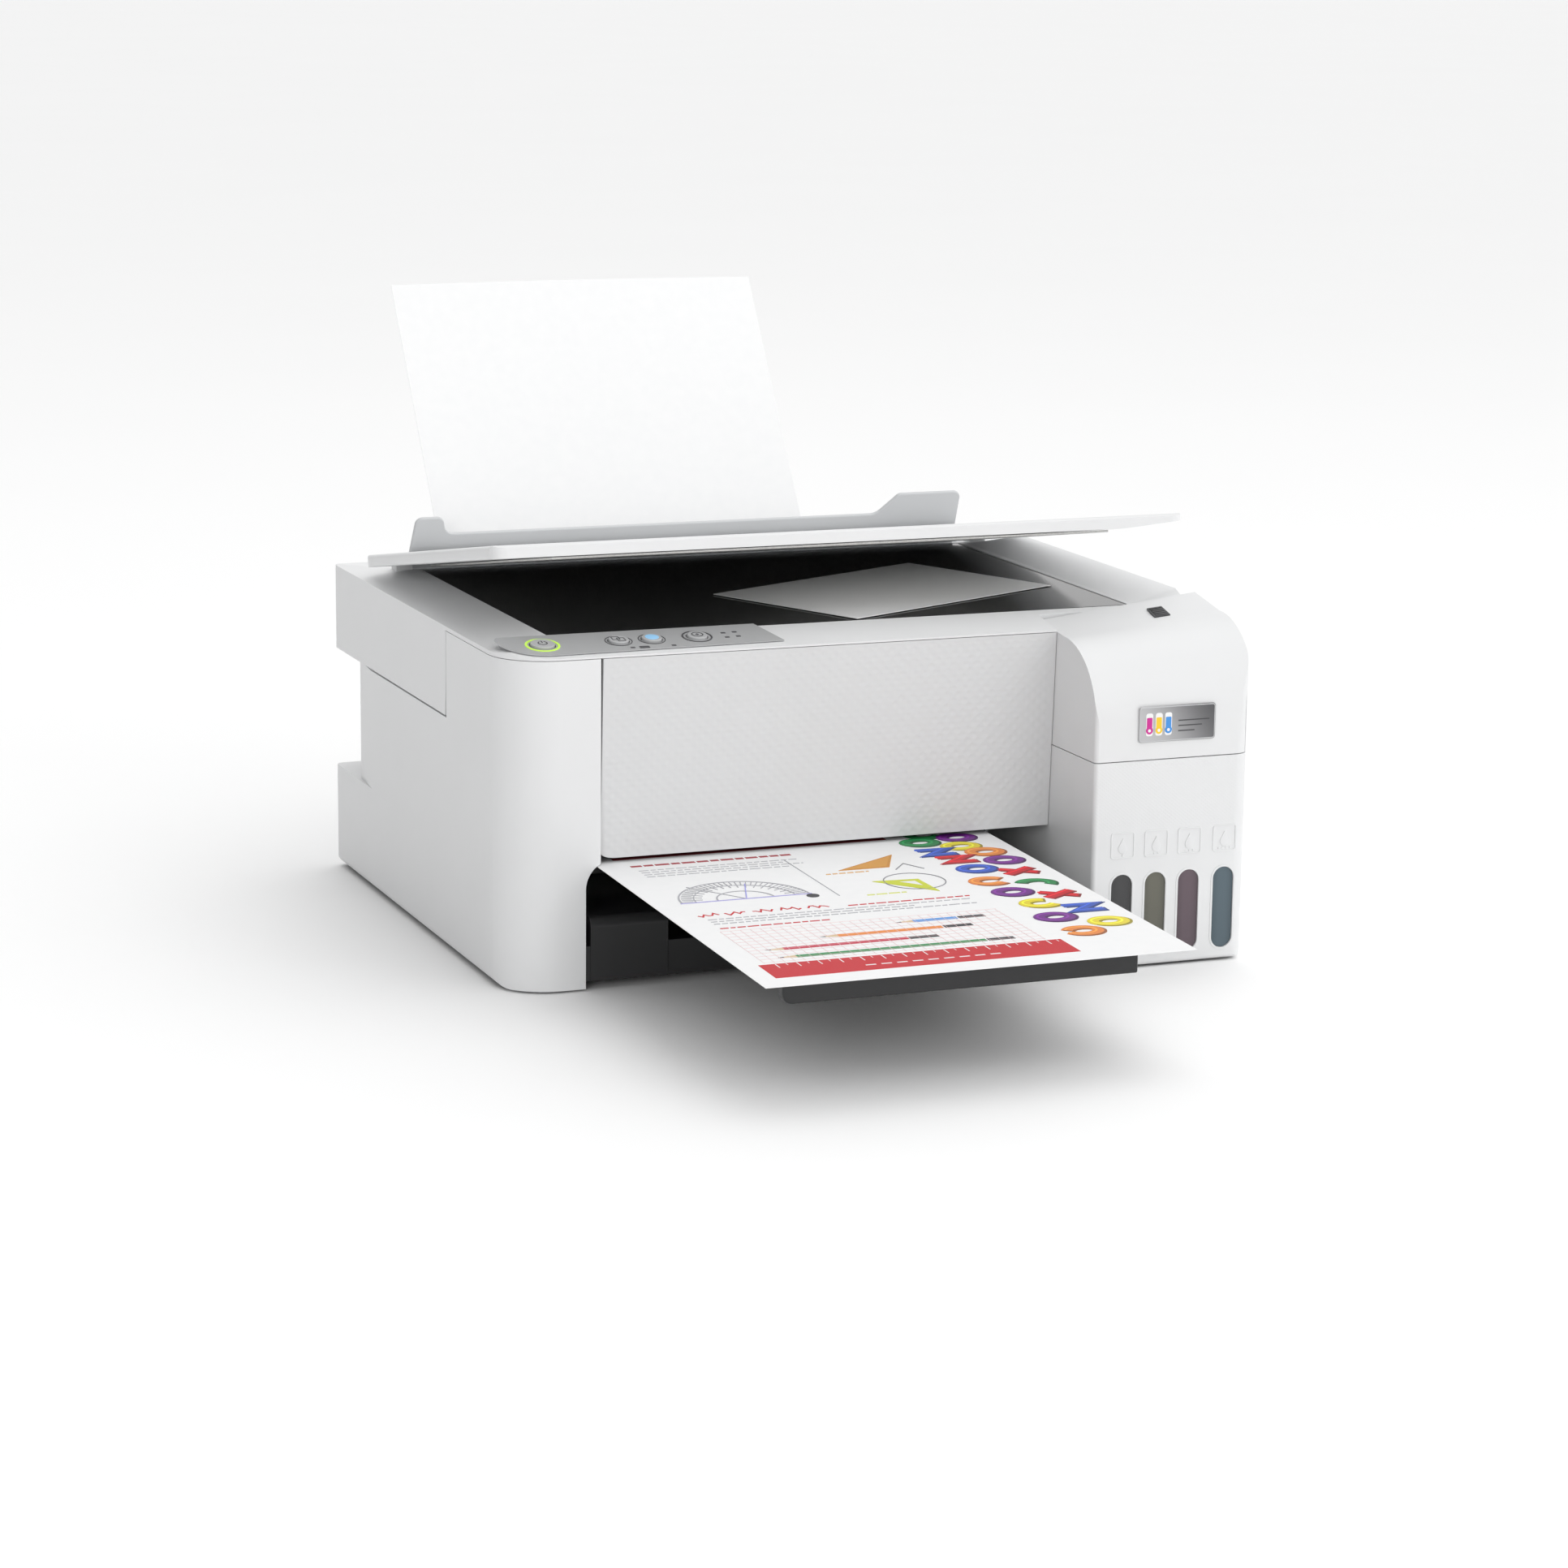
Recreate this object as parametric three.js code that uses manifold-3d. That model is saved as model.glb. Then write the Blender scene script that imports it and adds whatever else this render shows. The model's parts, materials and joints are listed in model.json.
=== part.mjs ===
import * as THREE from "three";
import { mergeVertices } from "three/addons/utils/BufferGeometryUtils.js";
import Module from "manifold-3d";

const wasm = await Module();
wasm.setup();

// An all-in-one ink-tank printer. Millimetres: X across, Y to the back, Z up from the floor.

// Fits
const GAP = 0.3; // between pieces that touch
const RUN = 0.5; // round a piece that turns or slides

// Outer body
const WIDTH = 375;
const FRONT_Y = -128;
const REAR_Y = 174;
const FLOOR_Z = 1.2; // lower edge of the housings
const BASE_Z = 4.5; // underside of the base
const BASE_THICKNESS = 3.5;
const WALL = 2.5;
const CORNER_RADIUS = 28;
const REAR_RADIUS = 5;
const BOTTOM_ROUND = 6;
const ABOVE = 200; // higher than any cut has to reach
const SKIRT_FRONT_Y = -31;
const SKIRT_Z = 121;
const SKIRT_GAP = 1;
const SKIRT_RELIEF = 1.6;
const SKIRT_RELIEF_HEIGHT = 18;
const CASING_JOINT = 18; // from a side to the joint between its housing and the rear cover
const REAR_TOP_Z = 150;
const REAR_ROOF_Y = 134;
const HALF = WIDTH / 2;

// Feet
const FOOT_RADIUS = 8;
const FOOT_INSET = 40;

// Front opening and the column left of it
const COLUMN_X = -139.5;
const OPENING_X = -147;
const OPENING_Z = 64.7;
const OPENING_ROUND = 14;
const SLIT = 1.3;
const PANEL_TILT = 5;
const PANEL_THICKNESS = 3;

// Notch in the rear left corner, and what the rear cover holds
const NOTCH = { x: -163, z: [56.5, SKIRT_Z], front: 102, turn: [3, 135.5], rear: 140, round: 4 };
const INLET = { x: [118, 146], z: [30, 52], depth: 22 };
const USB = { x: [128, 141], z: [78, 89], depth: 18 };
const SOCKET_RIM = 2;
const VENT = { count: 8, x: -90, step: 12, width: 6, z: [40, 70] };

// Ink-tank bay on the right
const BAY_X = 101;
const BAY_FRONT_Y = -175;
const BAY_ROUND = 9;
const BAY_TOP_Z = 105.7;
const BAY_WALL_REAR_Y = -50;
const COVER_REAR_Y = -107.5;
const COVER_ARC_REAR_Y = -135;
const COVER_LEFT = [124, 163, 166.5]; // heights where the arc starts, where it ends, and at the rear
const COVER_RIGHT = [132, 171.5, 176.5];
const COVER_BACK = { y: -112, z: [90, 161] };
const NAMEPLATE = { x: [124, 166], z: [115, 133], thickness: 0.6 };
const TANK_X = [117.3, 135.8, 154.2, 173.7];
const TANK_COLOURS = ["black", "yellow", "magenta", "cyan"];
const TANK_WIDTH = 16;
const TANK_DEPTH = 58;
const TANK_TOP_Z = 98;
const TANK_FLOOR_Z = 9.5;
const TANK_WALL = 1.8;
const TANK_SETBACK = 1.2;
const NECK_RADIUS = 5;
const NECK_HOLE = 3.2;
const NECK_HEIGHT = 6;
const NECK_Y = -152;
const WINDOW_WIDTH = 12;
const WINDOW_LOW_Z = 7;
const WINDOW_HIGH_Z = 49;
const CAP_HINGE_Y = -127;
const CAP_THICKNESS = 4;
const CAP_LENGTH = 36;

// Scanner unit on top
const DECK_Z = 170.5;
const DECK_LOW_Z = 163.9;
const RIM_LEFT_Z = 166;
const RIM_RIGHT_Z = 175;
const RIM_FRONT_Z = 164.8;
const STRIP_REAR_Y = -97;
const GLASS_X = [-156, 154];
const GLASS_Y = [-99, 115];
const GLASS_THICKNESS = 2.7;
const GLASS_LIP = 3;
const LIP_Z = 167.2;
const ARM_X = [-162, 159];
const DECK_REAR_Y = 126;
const DECK_RIGHT_FRONT_Y = -105.5;
const TUB_FLOOR_Z = 135;
const TUB_LEAN_DEG = 25;
const BAR_WIDTH = 18;
const BAR_HEIGHT = 14;
const RAIL_RADIUS = 3;

// Buttons on the sloping strip: distance along X, radius
const BUTTONS = [
  ["power_button", -163.6, 6],
  ["copy_mono_button", -125, 5],
  ["copy_colour_button", -108, 5],
  ["stop_button", -84.6, 5],
];
const BUTTON_ROW = 17; // up the slope from its front edge
const BUTTON_TRAVEL = 1;
const BUTTON_PROUD = 1.2;
const BUTTON_SUNK = 2.4;
const FILM = 0.6;
const FILM_TIP = [-50, -43]; // where the slanted right end starts and stops
const FILM_EDGE = 3;
const FILM_CORNER = 22;

// Document cover, closed and then opened by its rest angle
const LID_HINGE = { y: 118, z: 176 };
const LID_HALF = 185;
const LID_REACH = 221;
const LID_TAIL = 4;
const LID_TOP = 3;
const LID_UNDER = 3.5;
const LID_REST_DEG = 9.7;
const PAD_THICKNESS = 1.1;

// Rear feeder
const GUARD_HINGE = { y: 131, z: 168 };
const GUARD_X = [-160, 157];
const GUARD_NOTCH_X = [-140, 108];
const GUARD_HEIGHT = 33;
const GUARD_NOTCH_Z = 21;
const GUARD_THICKNESS = 2.4;
const GUARD_LEAN_DEG = 20;
const SHEET_WIDTH = 210;
const SHEET_LENGTH = 297;
const SHEET_THICKNESS = 0.3;
const SHEET_X = -32;
const FEED_LEAN_DEG = 34;
const FEED_FOOT = { y: 66, z: 63 };
const CHUTE_X = [-158, 155];
const CHUTE_LOW = 12;
const CHUTE_HIGH = 122;
const CHUTE_THICKNESS = 2;
const SUPPORT_WIDTH = 150;
const SUPPORT_LOW = 92;
const SUPPORT_HIGH = 262;
const SUPPORT_THICKNESS = 2.4;
const GUIDE_HEIGHT = 46;
const GUIDE_DEPTH = 4;
const GUIDE_FENCE = 3;
const GUIDE_FOOT = { width: 16, height: 30, depth: 2.5 };
const GRIP = { width: 40, from_top: 30, height: 12, round: 5 };

// Output side
const PAGE_REAR = { y: -54, z: 63 };
const PAGE_FALL_DEG = 1.2;
const PAGE_X = -36;
const TRAY_X = [-106, 60];
const TRAY_Y = [-235, -60];
const TRAY_Z = 38;
const TRAY_THICKNESS = 3;
const TRAY_SIDE = 8;
const EXTENSION_X = [-123, 52]; // of its lip; the plate behind the lip fits inside the tray
const EXTENSION_Y = [-326, -165];
const EXTENSION_THICKNESS = 3;
const LIP_DEPTH = 6;
const LIP_HEIGHT = 9.5;
const SILL_Z = 22;
const BLOCK_X = [-144, -104];
const BLOCK_Z = 36;
const RIGHT_BLOCK_WIDTH = 33;
const RIGHT_BLOCK_Z = 32;
const BLOCK_DEPTH = 40;

// Print mechanism
const PLATE_X = [-172, 96];
const PLATE_THICKNESS = 2;
const PLATE_Y = [-62, 58];
const PLATE_Z = [30, 124];
const SHAFT = { y: 0, z: 92, radius: 4 };
const CARRIAGE_X = [34, 92];
const CARRIAGE_Y = [-34, 38];
const CARRIAGE_Z = [72, 118];
const ROLLER_Z = 55.5;
const ROLLER_RADIUS = 7;
const AXLE_RADIUS = 3;
const PICKUP_RADIUS = 9;
const PICKUP_UP = 38; // along the sheet from its lower edge
const FEED_Y = 20;
const EJECT_Y = -40;
const GEAR_MODULE = 1;
const GEAR_TEETH = 40;
const PINION_TEETH = 20;
const GEAR_WIDTH = 6;
const GEAR_X = -168;
const BELT = { y: 47, z: 96, radius: 7, width: 6, thickness: 1.2, left: -155, right: 80 };
const MOTOR_RADIUS = 12;
const MOTOR_LENGTH = 18;
const MOTOR_STANDOFF = 5;
const ROLLER_X = [-128, 88];
const PICKUP_AXLE_X = [-140, 62];
const PICKUP_X = [-60, -12];
const NOZZLES_Y = [-26, 6];
const PLATEN = [[-130, 32], [-31, 11], [57, 61]];
const CAPPING_STATION = [[38, 90], [-31, 11], [52, 67]];
const POWER_SUPPLY = { x: [110, 178], y: [-45, 60], top: 58 };
const MAIN_BOARD = [[180, 182], [-40, 120], [66, 112]];
const WASTE_PAD = { x: [-120, 80], y: [72, 150], top: 34 };

const rad = THREE.MathUtils.degToRad;

// Solids -------------------------------------------------------------------------------------------

// The closed geometry as a manifold-3d solid, with shared vertices merged.
function solid(geometry) {
  const loose = geometry.index ? geometry.toNonIndexed() : geometry.clone();
  loose.deleteAttribute("normal");
  loose.deleteAttribute("uv");
  const merged = mergeVertices(loose, 1e-4);
  return new wasm.Manifold(
    new wasm.Mesh({
      numProp: 3,
      vertProperties: merged.attributes.position.array,
      triVerts: new Uint32Array(merged.index.array),
    }),
  );
}

function block(x, y, z) {
  const size = [x, y, z].map(([low, high]) => high - low);
  const middle = [x, y, z].map(([low, high]) => (low + high) / 2);
  return solid(new THREE.BoxGeometry(...size).translate(...middle));
}

// Turns the extrusion axis of a shape to X, Y or Z; the shape then lies in (y,z), (x,z) or (x,y).
const TURNS = {
  x: new THREE.Matrix4().set(0, 0, 1, 0, 1, 0, 0, 0, 0, 1, 0, 0, 0, 0, 0, 1),
  y: new THREE.Matrix4().set(1, 0, 0, 0, 0, 0, -1, 0, 0, 1, 0, 0, 0, 0, 0, 1),
  z: new THREE.Matrix4(),
};

// A prism of the outline between two places along an axis, with an optional rounded edge at both ends.
function prism(axis, points, [low, high], bevel = 0) {
  const geometry = new THREE.ExtrudeGeometry(new THREE.Shape(points), {
    depth: high - low - 2 * bevel,
    bevelEnabled: bevel > 0,
    bevelThickness: bevel,
    bevelSize: bevel,
    bevelOffset: -bevel,
    bevelSegments: 3,
  });
  const start = axis === "y" ? -high + bevel : low + bevel;
  return solid(geometry.translate(0, 0, start).applyMatrix4(TURNS[axis]));
}

// Corner points [a, b, radius] joined to an outline, with each corner rounded.
function outline(corners) {
  const points = [];
  corners.forEach(([a, b, radius = 0], i) => {
    const at = new THREE.Vector2(a, b);
    if (!radius) {
      points.push(at);
      return;
    }
    const before = corners[(i + corners.length - 1) % corners.length];
    const after = corners[(i + 1) % corners.length];
    const back = new THREE.Vector2(before[0], before[1]).sub(at).normalize();
    const on = new THREE.Vector2(after[0], after[1]).sub(at).normalize();
    const half = Math.acos(THREE.MathUtils.clamp(back.dot(on), -1, 1)) / 2;
    const middle = back.clone().add(on).normalize().multiplyScalar(radius / Math.sin(half)).add(at);
    const from = at.clone().addScaledVector(back, radius / Math.tan(half)).sub(middle);
    const to = at.clone().addScaledVector(on, radius / Math.tan(half)).sub(middle);
    const turn = Math.atan2(from.cross(to), from.dot(to));
    const steps = Math.max(2, Math.ceil(Math.abs(turn) / rad(radius > 8 ? 7.5 : 18)));
    for (let k = 0; k <= steps; k++)
      points.push(from.clone().rotateAround(new THREE.Vector2(), (turn * k) / steps).add(middle));
  });
  return points;
}

function rectangle([a0, a1], [b0, b1], radius = 0) {
  return outline([
    [a0, b0, radius],
    [a1, b0, radius],
    [a1, b1, radius],
    [a0, b1, radius],
  ]);
}

function circle(a, b, radius, sides = 24) {
  const points = [];
  for (let k = 0; k < sides; k++) {
    const turn = ((k + 0.5) * 2 * Math.PI) / sides;
    points.push(new THREE.Vector2(a + radius * Math.cos(turn), b + radius * Math.sin(turn)));
  }
  return points;
}

// A solid whose section changes evenly from one outline to another between two places along X.
function loft(first, second, [x0, x1]) {
  const count = first.length;
  const corners = [
    ...first.map((p) => [x0, p.x, p.y]),
    ...second.map((p) => [x1, p.x, p.y]),
  ];
  const faces = [];
  THREE.ShapeUtils.triangulateShape(first, []).forEach(([a, b, c]) => {
    faces.push([a, c, b], [a + count, b + count, c + count]);
  });
  for (let k = 0; k < count; k++) {
    const next = (k + 1) % count;
    faces.push([k, next, next + count], [k, next + count, k + count]);
  }
  return new wasm.Manifold(
    new wasm.Mesh({
      numProp: 3,
      vertProperties: new Float32Array(corners.flat()),
      triVerts: new Uint32Array(faces.flat()),
    }),
  );
}

function gearOutline(teeth, phase) {
  const pitch = (teeth * GEAR_MODULE) / 2;
  const root = pitch - 1.15 * GEAR_MODULE;
  const tip = pitch + 0.8 * GEAR_MODULE;
  const step = (2 * Math.PI) / teeth;
  const points = [];
  for (let k = 0; k < teeth; k++)
    for (const [share, radius] of [[-0.3, root], [-0.11, tip], [0.11, tip], [0.3, root]]) {
      const turn = (k + share) * step + phase;
      points.push(new THREE.Vector2(radius * Math.cos(turn), radius * Math.sin(turn)));
    }
  return points;
}

// Scene --------------------------------------------------------------------------------------------

const LOOKS = {
  shell: [0xe6e7e8, 0.45, 0],
  panel: [0xd9dadb, 0.5, 0],
  guard: [0xcfd1d3, 0.5, 0],
  black: [0x1b1b1d, 0.55, 0],
  grey: [0x3a3b3e, 0.5, 0],
  film: [0xb5b7b9, 0.35, 0],
  paper: [0xf4f4f4, 0.8, 0],
  foam: [0xf0f0ee, 0.9, 0],
  steel: [0xb8bcc0, 0.35, 0.9],
  glass: [0x101214, 0.05, 0],
  rubber: [0x202022, 0.85, 0],
  board: [0x1f6b3a, 0.5, 0],
  plate: [0x9a9da0, 0.3, 0.6],
  black_tank: [0x4a4a4c, 0.3, 0],
  yellow_tank: [0x77776a, 0.3, 0],
  magenta_tank: [0x6a5a64, 0.3, 0],
  cyan_tank: [0x4b6470, 0.3, 0],
};

function mesh(name, body, look) {
  const { vertProperties, triVerts } = body.getMesh();
  const geometry = new THREE.BufferGeometry();
  geometry.setAttribute("position", new THREE.BufferAttribute(new Float32Array(vertProperties), 3));
  geometry.setIndex(new THREE.BufferAttribute(new Uint32Array(triVerts), 1));
  geometry.computeVertexNormals();
  const [color, roughness, metalness] = LOOKS[look];
  const made = new THREE.Mesh(
    geometry,
    new THREE.MeshStandardMaterial({ color, roughness, metalness }),
  );
  made.name = name;
  return made;
}

// A group at a place in the side view, with its front raised by an angle.
function group(y, z, raised, ...children) {
  const made = new THREE.Group();
  made.position.set(0, y, z);
  made.rotation.x = -rad(raised);
  made.add(...children);
  return made;
}

// Casing -------------------------------------------------------------------------------------------

// The plan of the whole body with the tank bay, moved in by an inset all round.
function bodyPlan(inset = 0) {
  return outline([
    [-HALF + inset, FRONT_Y + inset, CORNER_RADIUS - inset],
    [BAY_X + inset, FRONT_Y + inset],
    [BAY_X + inset, BAY_FRONT_Y + inset, Math.max(BAY_ROUND - inset, 1) / 4],
    [HALF - inset, BAY_FRONT_Y + inset, Math.max(BAY_ROUND - inset, 1)],
    [HALF - inset, REAR_Y - inset, REAR_RADIUS - inset],
    [-HALF + inset, REAR_Y - inset, REAR_RADIUS - inset],
  ]);
}

const SHELL_TOP = DECK_LOW_Z - GAP;
const REAR_CORNER_X = HALF - CASING_JOINT;
const FLOOR_TOP_Z = BASE_Z + BASE_THICKNESS;

// The body's outer form, with its lower edges rounded at both sides, the back and the bay's front.
function bodyForm() {
  const across = prism(
    "y",
    outline([
      [-HALF, FLOOR_Z, BOTTOM_ROUND],
      [HALF, FLOOR_Z, BOTTOM_ROUND],
      [HALF, ABOVE],
      [-HALF, ABOVE],
    ]),
    [BAY_FRONT_Y - 1, REAR_Y + 1],
  );
  const along = prism(
    "x",
    outline([
      [BAY_FRONT_Y, FLOOR_Z, BOTTOM_ROUND / 2],
      [REAR_Y, FLOOR_Z, BOTTOM_ROUND],
      [REAR_Y, ABOVE],
      [BAY_FRONT_Y, ABOVE],
    ]),
    [-HALF - 1, HALF + 1],
  );
  return prism("z", bodyPlan(), [FLOOR_Z, ABOVE]).intersect(across).intersect(along);
}

function bodyShell() {
  const outer = bodyForm();
  const inner = prism("z", bodyPlan(WALL), [FLOOR_Z - 1, ABOVE + 1]);
  const above = block([-HALF - 1, HALF + 1], [BAY_FRONT_Y - 1, REAR_Y + 1], [SHELL_TOP, ABOVE]);
  const skirts = block(
    [-HALF - 1, HALF + 1],
    [SKIRT_FRONT_Y - SKIRT_GAP, REAR_Y + 1],
    [SKIRT_Z - SKIRT_GAP, ABOVE],
  );
  return { outer, shell: outer.subtract(inner).subtract(above).subtract(skirts) };
}

function notchPlan(grow) {
  return outline([
    [-HALF - 10, NOTCH.front - grow],
    [-HALF, NOTCH.front - grow],
    [-HALF + NOTCH.turn[0] + grow, NOTCH.turn[1] - grow, NOTCH.round],
    [NOTCH.x + grow, NOTCH.rear - grow, NOTCH.round],
    [NOTCH.x + grow, REAR_Y + 10],
    [-HALF - 10, REAR_Y + 10],
  ]);
}

function leftHousing() {
  const { outer, shell } = bodyShell();
  const side = block([-HALF - 1, -REAR_CORNER_X], [FRONT_Y - 1, REAR_Y + 1], [0, ABOVE]);
  const column = block([-HALF - 1, COLUMN_X], [FRONT_Y - 1, FRONT_Y + CORNER_RADIUS], [0, ABOVE]);
  const cheek = block(
    [OPENING_X - WALL, OPENING_X],
    [FRONT_Y + WALL, FRONT_Y + CORNER_RADIUS],
    [FLOOR_TOP_Z + GAP, OPENING_Z],
  );
  const opening = prism(
    "y",
    rectangle([OPENING_X, -OPENING_X], [-OPENING_Z, OPENING_Z], OPENING_ROUND),
    [FRONT_Y - 1, FRONT_Y + CORNER_RADIUS + 1],
  );
  const pocket = prism("z", notchPlan(WALL), [NOTCH.z[0] - WALL, NOTCH.z[1] - SKIRT_GAP]);
  const notch = prism("z", notchPlan(0), [NOTCH.z[0], NOTCH.z[1] + 5]);
  return shell
    .intersect(side.add(column))
    .add(cheek.intersect(outer))
    .subtract(opening)
    .add(pocket.intersect(outer))
    .subtract(notch);
}

function windowOutline(x, shrink) {
  const half = WINDOW_WIDTH / 2 - shrink;
  return rectangle([x - half, x + half], [WINDOW_LOW_Z + shrink, WINDOW_HIGH_Z - shrink], half - 0.01);
}

function rightHousing() {
  const { outer, shell } = bodyShell();
  const side = block([REAR_CORNER_X, HALF + 1], [COVER_REAR_Y, REAR_Y + 1], [0, ABOVE]);
  const bay = block([BAY_X, HALF + 1], [BAY_FRONT_Y - 1, COVER_REAR_Y], [0, BAY_TOP_Z]);
  const divider = block(
    [BAY_X, BAY_X + WALL],
    [FRONT_Y - 1, BAY_WALL_REAR_Y],
    [FLOOR_TOP_Z + GAP, BAY_TOP_Z],
  );
  let housing = shell.intersect(side.add(bay)).add(divider.intersect(outer));
  for (const x of TANK_X)
    housing = housing.subtract(
      prism("y", windowOutline(x, 0), [BAY_FRONT_Y - 1, BAY_FRONT_Y + WALL + 1]),
    );
  return housing;
}

function frontPanel() {
  const foot = FRONT_Y + PANEL_TILT;
  return prism(
    "x",
    outline([
      [foot + PANEL_THICKNESS, OPENING_Z + GAP],
      [FRONT_Y + PANEL_THICKNESS, SHELL_TOP],
      [FRONT_Y, SHELL_TOP, 0.8],
      [foot, OPENING_Z + GAP, 1],
    ]),
    [COLUMN_X + SLIT, BAY_X - GAP],
  );
}

function rearCover() {
  const span = REAR_CORNER_X - GAP;
  const low = block([-span, span], [REAR_Y - WALL, REAR_Y], [FLOOR_Z, SKIRT_Z - SKIRT_GAP]);
  const high = block(
    [ARM_X[0] + SKIRT_GAP, ARM_X[1] - SKIRT_GAP],
    [REAR_Y - WALL, REAR_Y],
    [FLOOR_Z + 1, REAR_TOP_Z],
  );
  const roof = block(
    [ARM_X[0] + SKIRT_GAP, ARM_X[1] - SKIRT_GAP],
    [REAR_ROOF_Y, REAR_Y - 1],
    [REAR_TOP_Z - WALL, REAR_TOP_Z],
  );
  let cover = low.add(high).add(roof);
  cover = cover.subtract(
    block(
      [-HALF, NOTCH.x + WALL + GAP],
      [0, REAR_Y + 1],
      [NOTCH.z[0] - WALL - GAP, NOTCH.z[1] + 1],
    ),
  );
  for (const { x, z } of [INLET, USB])
    cover = cover.subtract(
      block(
        [x[0] - GAP, x[1] + GAP],
        [REAR_Y - WALL - 1, REAR_Y + 1],
        [z[0] - GAP, z[1] + GAP],
      ),
    );
  for (let k = 0; k < VENT.count; k++) {
    const x = VENT.x + VENT.step * k;
    cover = cover.subtract(block([x, x + VENT.width], [REAR_Y - WALL - 1, REAR_Y + 1], VENT.z));
  }
  return cover;
}

// A box behind the front opening, with its upper front edge rounded.
function frontBlock(x, top) {
  const front = FRONT_Y + 1.5;
  return prism(
    "x",
    outline([
      [front, BASE_Z],
      [front + BLOCK_DEPTH, BASE_Z],
      [front + BLOCK_DEPTH, top],
      [front, top, 5],
    ]),
    x,
  );
}

function baseFrame() {
  const floor = prism("z", bodyPlan(WALL + 2), [BASE_Z, FLOOR_TOP_Z]);
  const sill = block(
    [OPENING_X + GAP, BAY_X - GAP],
    [FRONT_Y + 2, FRONT_Y + 8],
    [BASE_Z, SILL_Z],
  );
  const right = BAY_X - GAP - 0.5;
  return floor
    .add(sill)
    .add(frontBlock(BLOCK_X, BLOCK_Z))
    .add(frontBlock([right - RIGHT_BLOCK_WIDTH, right], RIGHT_BLOCK_Z));
}

function feet() {
  const places = {
    foot_front_left: [-HALF + FOOT_INSET, FRONT_Y + FOOT_INSET],
    foot_front_right: [HALF - FOOT_INSET, BAY_FRONT_Y + FOOT_INSET],
    foot_rear_left: [-HALF + FOOT_INSET, REAR_Y - FOOT_INSET],
    foot_rear_right: [HALF - FOOT_INSET, REAR_Y - FOOT_INSET],
  };
  return Object.entries(places).map(([name, [x, y]]) =>
    mesh(name, prism("z", circle(x, y, FOOT_RADIUS), [0, BASE_Z - GAP]), "rubber"),
  );
}

function socket({ x, z, depth }) {
  const body = block(x, [REAR_Y - depth, REAR_Y - 0.5], z);
  const mouth = block(
    [x[0] + SOCKET_RIM, x[1] - SOCKET_RIM],
    [REAR_Y - depth + 2 * SOCKET_RIM, REAR_Y + 1],
    [z[0] + SOCKET_RIM, z[1] - SOCKET_RIM],
  );
  return body.subtract(mouth);
}

// Ink tanks ----------------------------------------------------------------------------------------

const TANK_FRONT_Y = BAY_FRONT_Y + WALL + TANK_SETBACK;
const TANK_SPAN_Y = [TANK_FRONT_Y, TANK_FRONT_Y + TANK_DEPTH];

function inkTank(x) {
  const half = TANK_WIDTH / 2;
  const neckTop = TANK_TOP_Z + NECK_HEIGHT;
  const body = block([x - half, x + half], TANK_SPAN_Y, [TANK_FLOOR_Z, TANK_TOP_Z]);
  const lens = prism("y", windowOutline(x, GAP), [BAY_FRONT_Y + 0.6, TANK_FRONT_Y + 0.2]);
  const neck = prism("z", circle(x, NECK_Y, NECK_RADIUS, 16), [TANK_TOP_Z - 1, neckTop]);
  const inside = block(
    [x - half + TANK_WALL, x + half - TANK_WALL],
    [TANK_SPAN_Y[0] + TANK_WALL, TANK_SPAN_Y[1] - TANK_WALL],
    [TANK_FLOOR_Z + TANK_WALL, TANK_TOP_Z - TANK_WALL],
  );
  const hole = prism("z", circle(x, NECK_Y, NECK_HOLE, 12), [TANK_TOP_Z - 5, neckTop + 1]);
  return body.add(lens).add(neck).subtract(inside).subtract(hole);
}

function tankBezel() {
  const low = TANK_TOP_Z + GAP;
  let bezel = block(
    [BAY_X + WALL + GAP, HALF - WALL - GAP],
    [BAY_FRONT_Y + WALL + BAY_ROUND, COVER_REAR_Y - GAP],
    [low, low + 2],
  );
  for (const x of TANK_X)
    bezel = bezel.subtract(prism("z", circle(x, NECK_Y, NECK_RADIUS + RUN, 16), [low - 1, low + 3]));
  return bezel;
}

const CAP_Z = TANK_TOP_Z + NECK_HEIGHT + GAP;

function tankCap() {
  const half = TANK_WIDTH / 2 - 0.5;
  const lever = prism(
    "x",
    outline([
      [-CAP_LENGTH, 0, 1],
      [0, 0, 1],
      [0, CAP_THICKNESS, 1.5],
      [-CAP_LENGTH, CAP_THICKNESS - 1.5, 1],
    ]),
    [-half, half],
  );
  const plug = prism("z", circle(0, NECK_Y - CAP_HINGE_Y, NECK_HOLE - RUN, 12), [-3, 1]);
  return lever.add(plug);
}

// The side view of the tank cover at one end, moved in by an inset.
function coverProfile([arcLow, arcHigh, rearHigh], inset) {
  const front = BAY_FRONT_Y + inset;
  const low = BAY_TOP_Z + SKIRT_GAP / 2 - inset;
  const points = [new THREE.Vector2(front, low)];
  const steps = 16;
  for (let k = 0; k <= steps; k++) {
    const turn = (k * Math.PI) / 2 / steps;
    points.push(
      new THREE.Vector2(
        COVER_ARC_REAR_Y - (COVER_ARC_REAR_Y - front) * Math.cos(turn),
        arcLow + (arcHigh - inset - arcLow) * Math.sin(turn),
      ),
    );
  }
  points.push(new THREE.Vector2(COVER_REAR_Y + inset, rearHigh - inset));
  points.push(new THREE.Vector2(COVER_REAR_Y + inset, low));
  return points.reverse();
}

function coverForm(inset) {
  return loft(coverProfile(COVER_LEFT, inset), coverProfile(COVER_RIGHT, inset), [
    BAY_X + inset,
    HALF - inset,
  ]);
}

function tankCover() {
  const plan = prism("z", bodyPlan(), [FLOOR_Z, ABOVE]);
  const back = block([BAY_X + WALL, HALF - WALL], [COVER_BACK.y, COVER_REAR_Y + 1], COVER_BACK.z);
  return coverForm(0).intersect(plan).subtract(coverForm(WALL)).subtract(back);
}

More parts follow.
